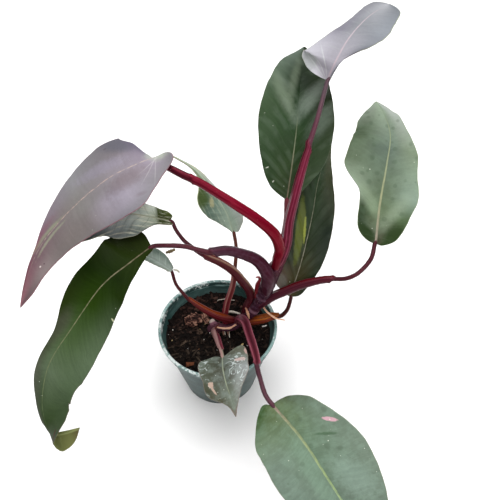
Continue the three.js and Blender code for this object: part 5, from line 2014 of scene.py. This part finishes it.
def stalks(blades: Mapping[str, Blade]) -> list[Limb]:
    """Gives the eleven stalks, each run on below its blade's midrib.

    Args:
        blades: The blades by name.

    Returns:
        The stalks.
    """
    finishes = stalk_finishes()
    shown = "petiole_skin"
    dark = "petiole_dark_skin"
    old = "petiole_old_skin"

    def stalk(name: str, slot: str, points: Sequence[Point], **more: object) -> Limb:
        """Makes one stalk with its tail below the midrib.

        Args:
            name: Its leaf's name.
            slot: Its material slot.
            points: Places from the stem outwards, each with a radius.
            more: Other fields of the limb.

        Returns:
            The stalk.
        """
        blade = blades[name]
        end = points[-1][3]
        tail = [
            (*blade.under_midrib(along, end * share * 0.9 + 0.35), end * share)
            for along, share in ((0.03, 0.75), (0.09, 0.5), (0.16, 0.28))
        ]
        return Limb(f"stalk_{name}", slot, points, finishes[name], (f"petiole_{name}",), tail=tail, **more)

    return [
        stalk("top", shown, [
            (49, 13, 138, 4), (52, 14, 146, 4.6), (56, 21, 156, 4.6), (58, 30, 172, 4.2), (63, 39, 196, 3.7),
            (68, 48, 215, 3.1), (71, 53, 224, 2.6), (72, 56, 229, 2), (77, 65, 243, 1.8), (81, 76, 253, 1.7),
            (84, 84, 261, 1.7),
        ], sheath_point=6, channel=((-0.6, 0.1, 0.3), (-0.8, -0.2, 0.3)), groove=0.2, wing=0.4, tip_lean=4),
        stalk("left_upper", shown, [
            (48, 11, 140, 4), (50, 14, 148, 4.5), (51, 17, 155, 4.6), (46, 19, 169, 4.5), (33, 20, 184, 4.2),
            (17, 22, 197, 4), (0, 28, 206, 3.6), (-9, 31, 210.5, 3.4), (-22, 35, 215, 3.1),
            (-33, 40, 218, 2.8), (-43, 44, 220.5, 2.5),
        ], sheath_point=7, channel=((0.3, 0.8, 0.6),), groove=0.12, wing=0.2, tip_lean=2),
        stalk("left_lower", dark, [
            (41, 3, 117, 3.4), (42, 4, 126, 5.6), (42, 5, 136, 5.8), (38, 8, 144, 5.4), (32, 9.5, 150.5, 5),
            (22, 9, 157, 4.4), (11, 7, 163, 4.1), (1, 2, 167, 3.8), (-3, 0.5, 168, 2.3), (-10, 1, 170, 2),
            (-21, 2, 173, 1.9), (-34, 2, 174, 1.9), (-45, 3, 172, 1.9),
        ], sheath_point=7, channel=((0.3, 0.6, 1), (0.2, 0.6, 1)), groove=0.15, wing=0.2, tip_lean=3,
        opens=(0.3, 0.45), flare=0.8),
        stalk("left_middle", dark, [
            (24, 9, 79, 4.8), (26, 11, 88, 4.5), (29, 13, 97, 4.2), (27, 15, 106, 4.1), (21, 15, 118, 4),
            (14, 16, 129, 3.8), (4, 16, 139, 3.3), (-6, 14, 148, 2.8), (-12, 15, 152, 2),
            (-22.5, 18, 161, 1.7), (-29.5, 24.5, 167, 1.6), (-33, 30, 171, 1.6),
        ], sheath_point=7, channel=((0.8, 0.4, 0.4), (0.5, 0.5, 0.7)), wing=0.7, tip_lean=2),
        stalk("right", dark, [
            (36, 5, 97, 2.8), (41, 6, 102, 3.8), (47, 7, 107, 3.9), (57, 8.5, 112, 3.9), (69, 9, 119, 3.7),
            (83, 8, 126, 3.2), (92, 6, 130, 2.9), (95, 5.5, 131, 1.8), (104, 2, 136, 1.8),
            (113.5, 4, 141, 1.8), (123, 13, 146.5, 1.8), (127, 25, 150, 1.8),
        ], sheath_point=6, channel=((-0.2, 0.5, 1),), tip_lean=2),
        stalk("front_right", shown, [
            (17, 5, 74, 4), (20, 2, 82, 4.2), (24, -7, 88, 3.8), (27, -21, 92, 3.6), (31, -39, 97, 3.4),
            (33, -51, 100, 2.8), (33, -56, 101, 2), (35.5, -70, 104, 1.8), (39, -83.5, 105, 1.8),
            (44, -91, 104, 1.8),
        ], sheath_point=5, channel=((0, -0.3, 1), (0.1, -0.2, 1)), groove=0.35),
        stalk("back_left", shown, [
            (50, 17, 134, 3), (53, 24, 146, 2.8), (57, 42, 161, 2.5), (57, 50, 174, 2.1),
        ], channel=((0, -0.5, 1), (0, -0.8, 0.3))),
        stalk("back_right", old, [
            (26, 2, 77, 3.4), (33, 2, 80, 3.8), (40, 2, 82, 3.5), (46, 3, 84, 3.1), (50, 2, 86, 2.6),
            (51, 1, 87, 1.9), (55, 1, 89, 1.9), (59, 3, 94, 1.7), (61, 7, 98, 1.6), (62, 10, 102, 1.6),
        ], sheath_point=4, channel=((0, 0.25, 1),), groove=0.5, wing=1.1, tip_lean=3),
        stalk("left_small", old, [
            (15, 6, 74, 3.4), (7, 4, 80, 3.7), (-2, 4, 85, 3.3), (-12, 6, 91, 2.7), (-21, 9, 97, 1.8),
            (-24, 10, 99, 1.6), (-28, 12, 104, 1.5), (-34, 16.5, 111, 1.4), (-37, 23, 118, 1.4),
        ], sheath_point=4, channel=((0.1, 0.4, 1), (0.3, 0.4, 1)), groove=0.45, wing=0.7, tip_lean=3.5,
        flare=0),
        stalk("mid_back", old, [
            (7, 5, 70, 2.8), (6, 10, 77, 2.8), (8, 15, 88, 2.7), (12, 21, 99, 2.5), (14, 26, 108, 2.3),
            (15, 30, 114, 1.6), (16, 43, 127, 1.5), (14, 53, 135, 1.5),
        ], sheath_point=4, channel=((0.5, -0.6, 0.6),), groove=0.35, wing=0.4),
        stalk("front_small", old, [
            (-2, 3, 66, 3), (-3, -6, 74, 2.8), (-1, -14, 82, 2.8), (2, -27, 89.4, 2.4), (3.6, -33, 91.8, 2),
            (4.4, -36.5, 93.2, 1.5), (5.2, -40, 94.6, 1.4), (6, -44, 96, 1.4),
        ], sheath_point=4, channel=((0.5, -0.4, 0.8),), groove=0.35, tip_lean=3),
    ]


def stem_parts() -> list[Limb]:
    """Gives the stem, its old end, its roots and the dead bud.

    Returns:
        The limbs.
    """
    skin = SkinFinish(
        bare=(
            (0, 0x4E2C34), (0.25, 0x4A2834), (0.4, 0x300E1A), (0.6, 0x280E1A), (0.75, 0x260C18),
            (0.88, 0x280A14), (1, 0x3C0A16),
        ),
        marks=((0.36, 0x5A3844), (0.52, 0x664852), (0.66, 0x4C3440), (0.78, 0x544048)), specks=0.12,
        speck=0xB49A98, bloom=0x4A3A4C, bloom_strength=0.22, roughness=0.38,
    )
    stump = SkinFinish(
        bare=((0, 0x42222C), (0.4, 0x5A3642), (0.86, 0x6E4A56), (0.97, 0x8A6E70), (1, 0xB0A098)), specks=0.3,
        roughness=0.6,
    )
    bud = SkinFinish(
        bare=((0, 0x4A0E14), (0.6, 0x5E141C), (0.85, 0x7A2A32), (1, 0xA86A68)), specks=0.3, speck=0xC8A48C,
    )
    root = SkinFinish(bare=((0, 0x6A4A40), (1, 0x8E7460)), roughness=0.7)
    pale = SkinFinish(bare=((0, 0xA8A094), (1, 0xC8C0B4)), roughness=0.7)
    return [
        Limb("creeping_stem", "stem_skin", [
            (-6, 3, 50, 4.5), (-6, 5, 60, 5), (-3, 4, 67, 5.2), (3, 2, 70, 3.4), (11, 1, 71, 3.2),
            (19, 5, 75, 4.8), (28, 7, 84, 4.9), (34, 8, 95, 5), (39, 9, 107, 5.8), (42, 10, 118, 6.1),
            (45, 12, 128, 6.2), (48, 13, 137, 6.1), (51, 14, 143, 4.6),
        ], skin, ("stem",), rings=((0.36, 0.4), (0.5, 0.4), (0.66, 0.35), (0.78, 0.3)), rough=0.5, sides=40,
        step=0.8),
        Limb("old_stump", "stem_skin", [
            (-1.5, 2.5, 66.5, 4.4), (-3.3, 4.6, 69, 3.7), (-4.8, 7.2, 70.8, 2.6),
        ], stump, rings=((0.4, 0.5), (0.75, 0.4)), rough=1.4, step=0.4),
        Limb("dead_bud", "petiole_skin", [
            (34, 9, 105, 2.9), (34.5, 15, 111, 2.5), (36, 18, 115, 1.5), (35, 19, 117, 1),
            (33, 19, 117, 0.6),
        ], bud, ("spike",), sides=20, step=0.5),
        Limb("root_right", "stem_skin", [
            (8, 0, 70, 1.2), (9, -2, 66, 0.9), (11, -4, 61, 0.8), (12, -5, 56, 0.8),
        ], root, sides=14, step=0.6),
        Limb("root_left", "stem_skin", [
            (4, 1, 69, 1.1), (5, -2, 65, 0.9), (6, -3, 61, 0.8), (6, -4, 56, 0.8),
        ], root, sides=14, step=0.6),
        Limb("root_pale", "stem_skin", [
            (6, 21, 66, 0.9), (11, 20.5, 67.5, 1.2), (18, 19, 66.5, 1), (22, 17, 64, 0.7),
        ], pale, sides=14, step=0.6),
        Limb("thread_pale", "stem_skin", [
            (-1.5, 35.3, 65.2, 0.35), (5.9, 36.4, 65.8, 0.4), (9, 35.4, 65.8, 0.35), (13.5, 35.5, 65, 0.3),
        ], pale, sides=8, step=0.6),
        Limb("shred_left", "stem_skin", [
            (5.5, 1, 66.5, 0.5), (6, -2, 66, 0.45), (6.5, -5, 64.5, 0.3),
        ], pale, sides=8, step=0.5),
        Limb("shred_right", "stem_skin", [
            (9, 1, 67, 0.5), (9.6, -2, 66.4, 0.5), (10, -6, 64.4, 0.3),
        ], pale, sides=8, step=0.5),
    ]


def dry_scales() -> list[DryScale]:
    """Gives the three dry scales on the stem, and the withered shreds by two small stalks.

    Returns:
        The strips.
    """
    tan = ScaleFinish(((0, 0xB0806A), (0.4, 0xC89A80), (1, 0xD0A488)), 0xE4C4A8)
    pink = ScaleFinish(((0, 0x8A4E44), (0.5, 0xB08468), (1, 0xA87860)), 0xC09880)
    brown = ScaleFinish(((0, 0x5A4C38), (1, 0x706448)), 0x7E6E50, 0x3A2C20)
    pale = ScaleFinish(((0, 0x8E8A7A), (0.5, 0xB4B0A0), (1, 0x8A8676)), 0xC4C0B0, 0x7A7464)
    red = ScaleFinish(((0, 0x4A1E18), (0.6, 0x5A2420), (1, 0x8A5A50)), 0x6E3A2E, 0x34120E)
    return [
        DryScale("strip_right", [
            (38, 6, 96, 0.8), (42, 0, 95, 0.8), (49, -5, 93, 0.7), (57, -5, 90, 0.4),
        ], tan, ("scale_right",), thickness=0.5),
        DryScale("strip_left", [
            (16, 0, 77, 0.7), (10, -3, 76, 0.9), (3, -3, 76, 0.8), (-2, -1, 75, 0.5),
        ], tan, ("scale_left",)),
        DryScale("strip_middle", [
            (24, 6, 93, 0.5), (26, 1, 91, 1.2), (27, -1, 86, 0.4),
        ], pink, ("scale_middle",)),
        DryScale("dead_strip", [
            (-42.5, 35.4, 129.2, 0.9), (-38.8, 37.3, 129, 1.5), (-35, 39.9, 128.6, 1),
        ], brown, slot="leaf_pale_green", facing=(0, -0.6, 0.8), thickness=0.5),
        DryScale("pale_curl", [
            (-36.4, 26, 118.4, 0.5), (-33.3, 25.4, 118.6, 0.9), (-31, 23.4, 118, 0.5),
        ], pale, slot="leaf_pale_green", thickness=0.5),
        DryScale("stalk_curl", [
            (1.5, 1.5, 75.5, 0.4), (-1.2, -2, 76, 0.7), (-3.2, -6, 74.5, 0.6), (-4.2, -10, 72, 0.4),
        ], red, slot="petiole_old_skin"),
    ]


def main() -> None:
    """Builds the studio, then the plant from the pot upwards."""
    logging.basicConfig(level=logging.INFO, format="%(name)s: %(message)s")
    Studio().build()
    NurseryPot().build()
    PottingMix().build()
    BarkLump().build()
    blades = {blade.name: blade for blade in leaves()}
    for part in [*stem_parts(), *stalks(blades), *dry_scales(), *blades.values()]:
        part.build()


if __name__ == "__main__":
    main()
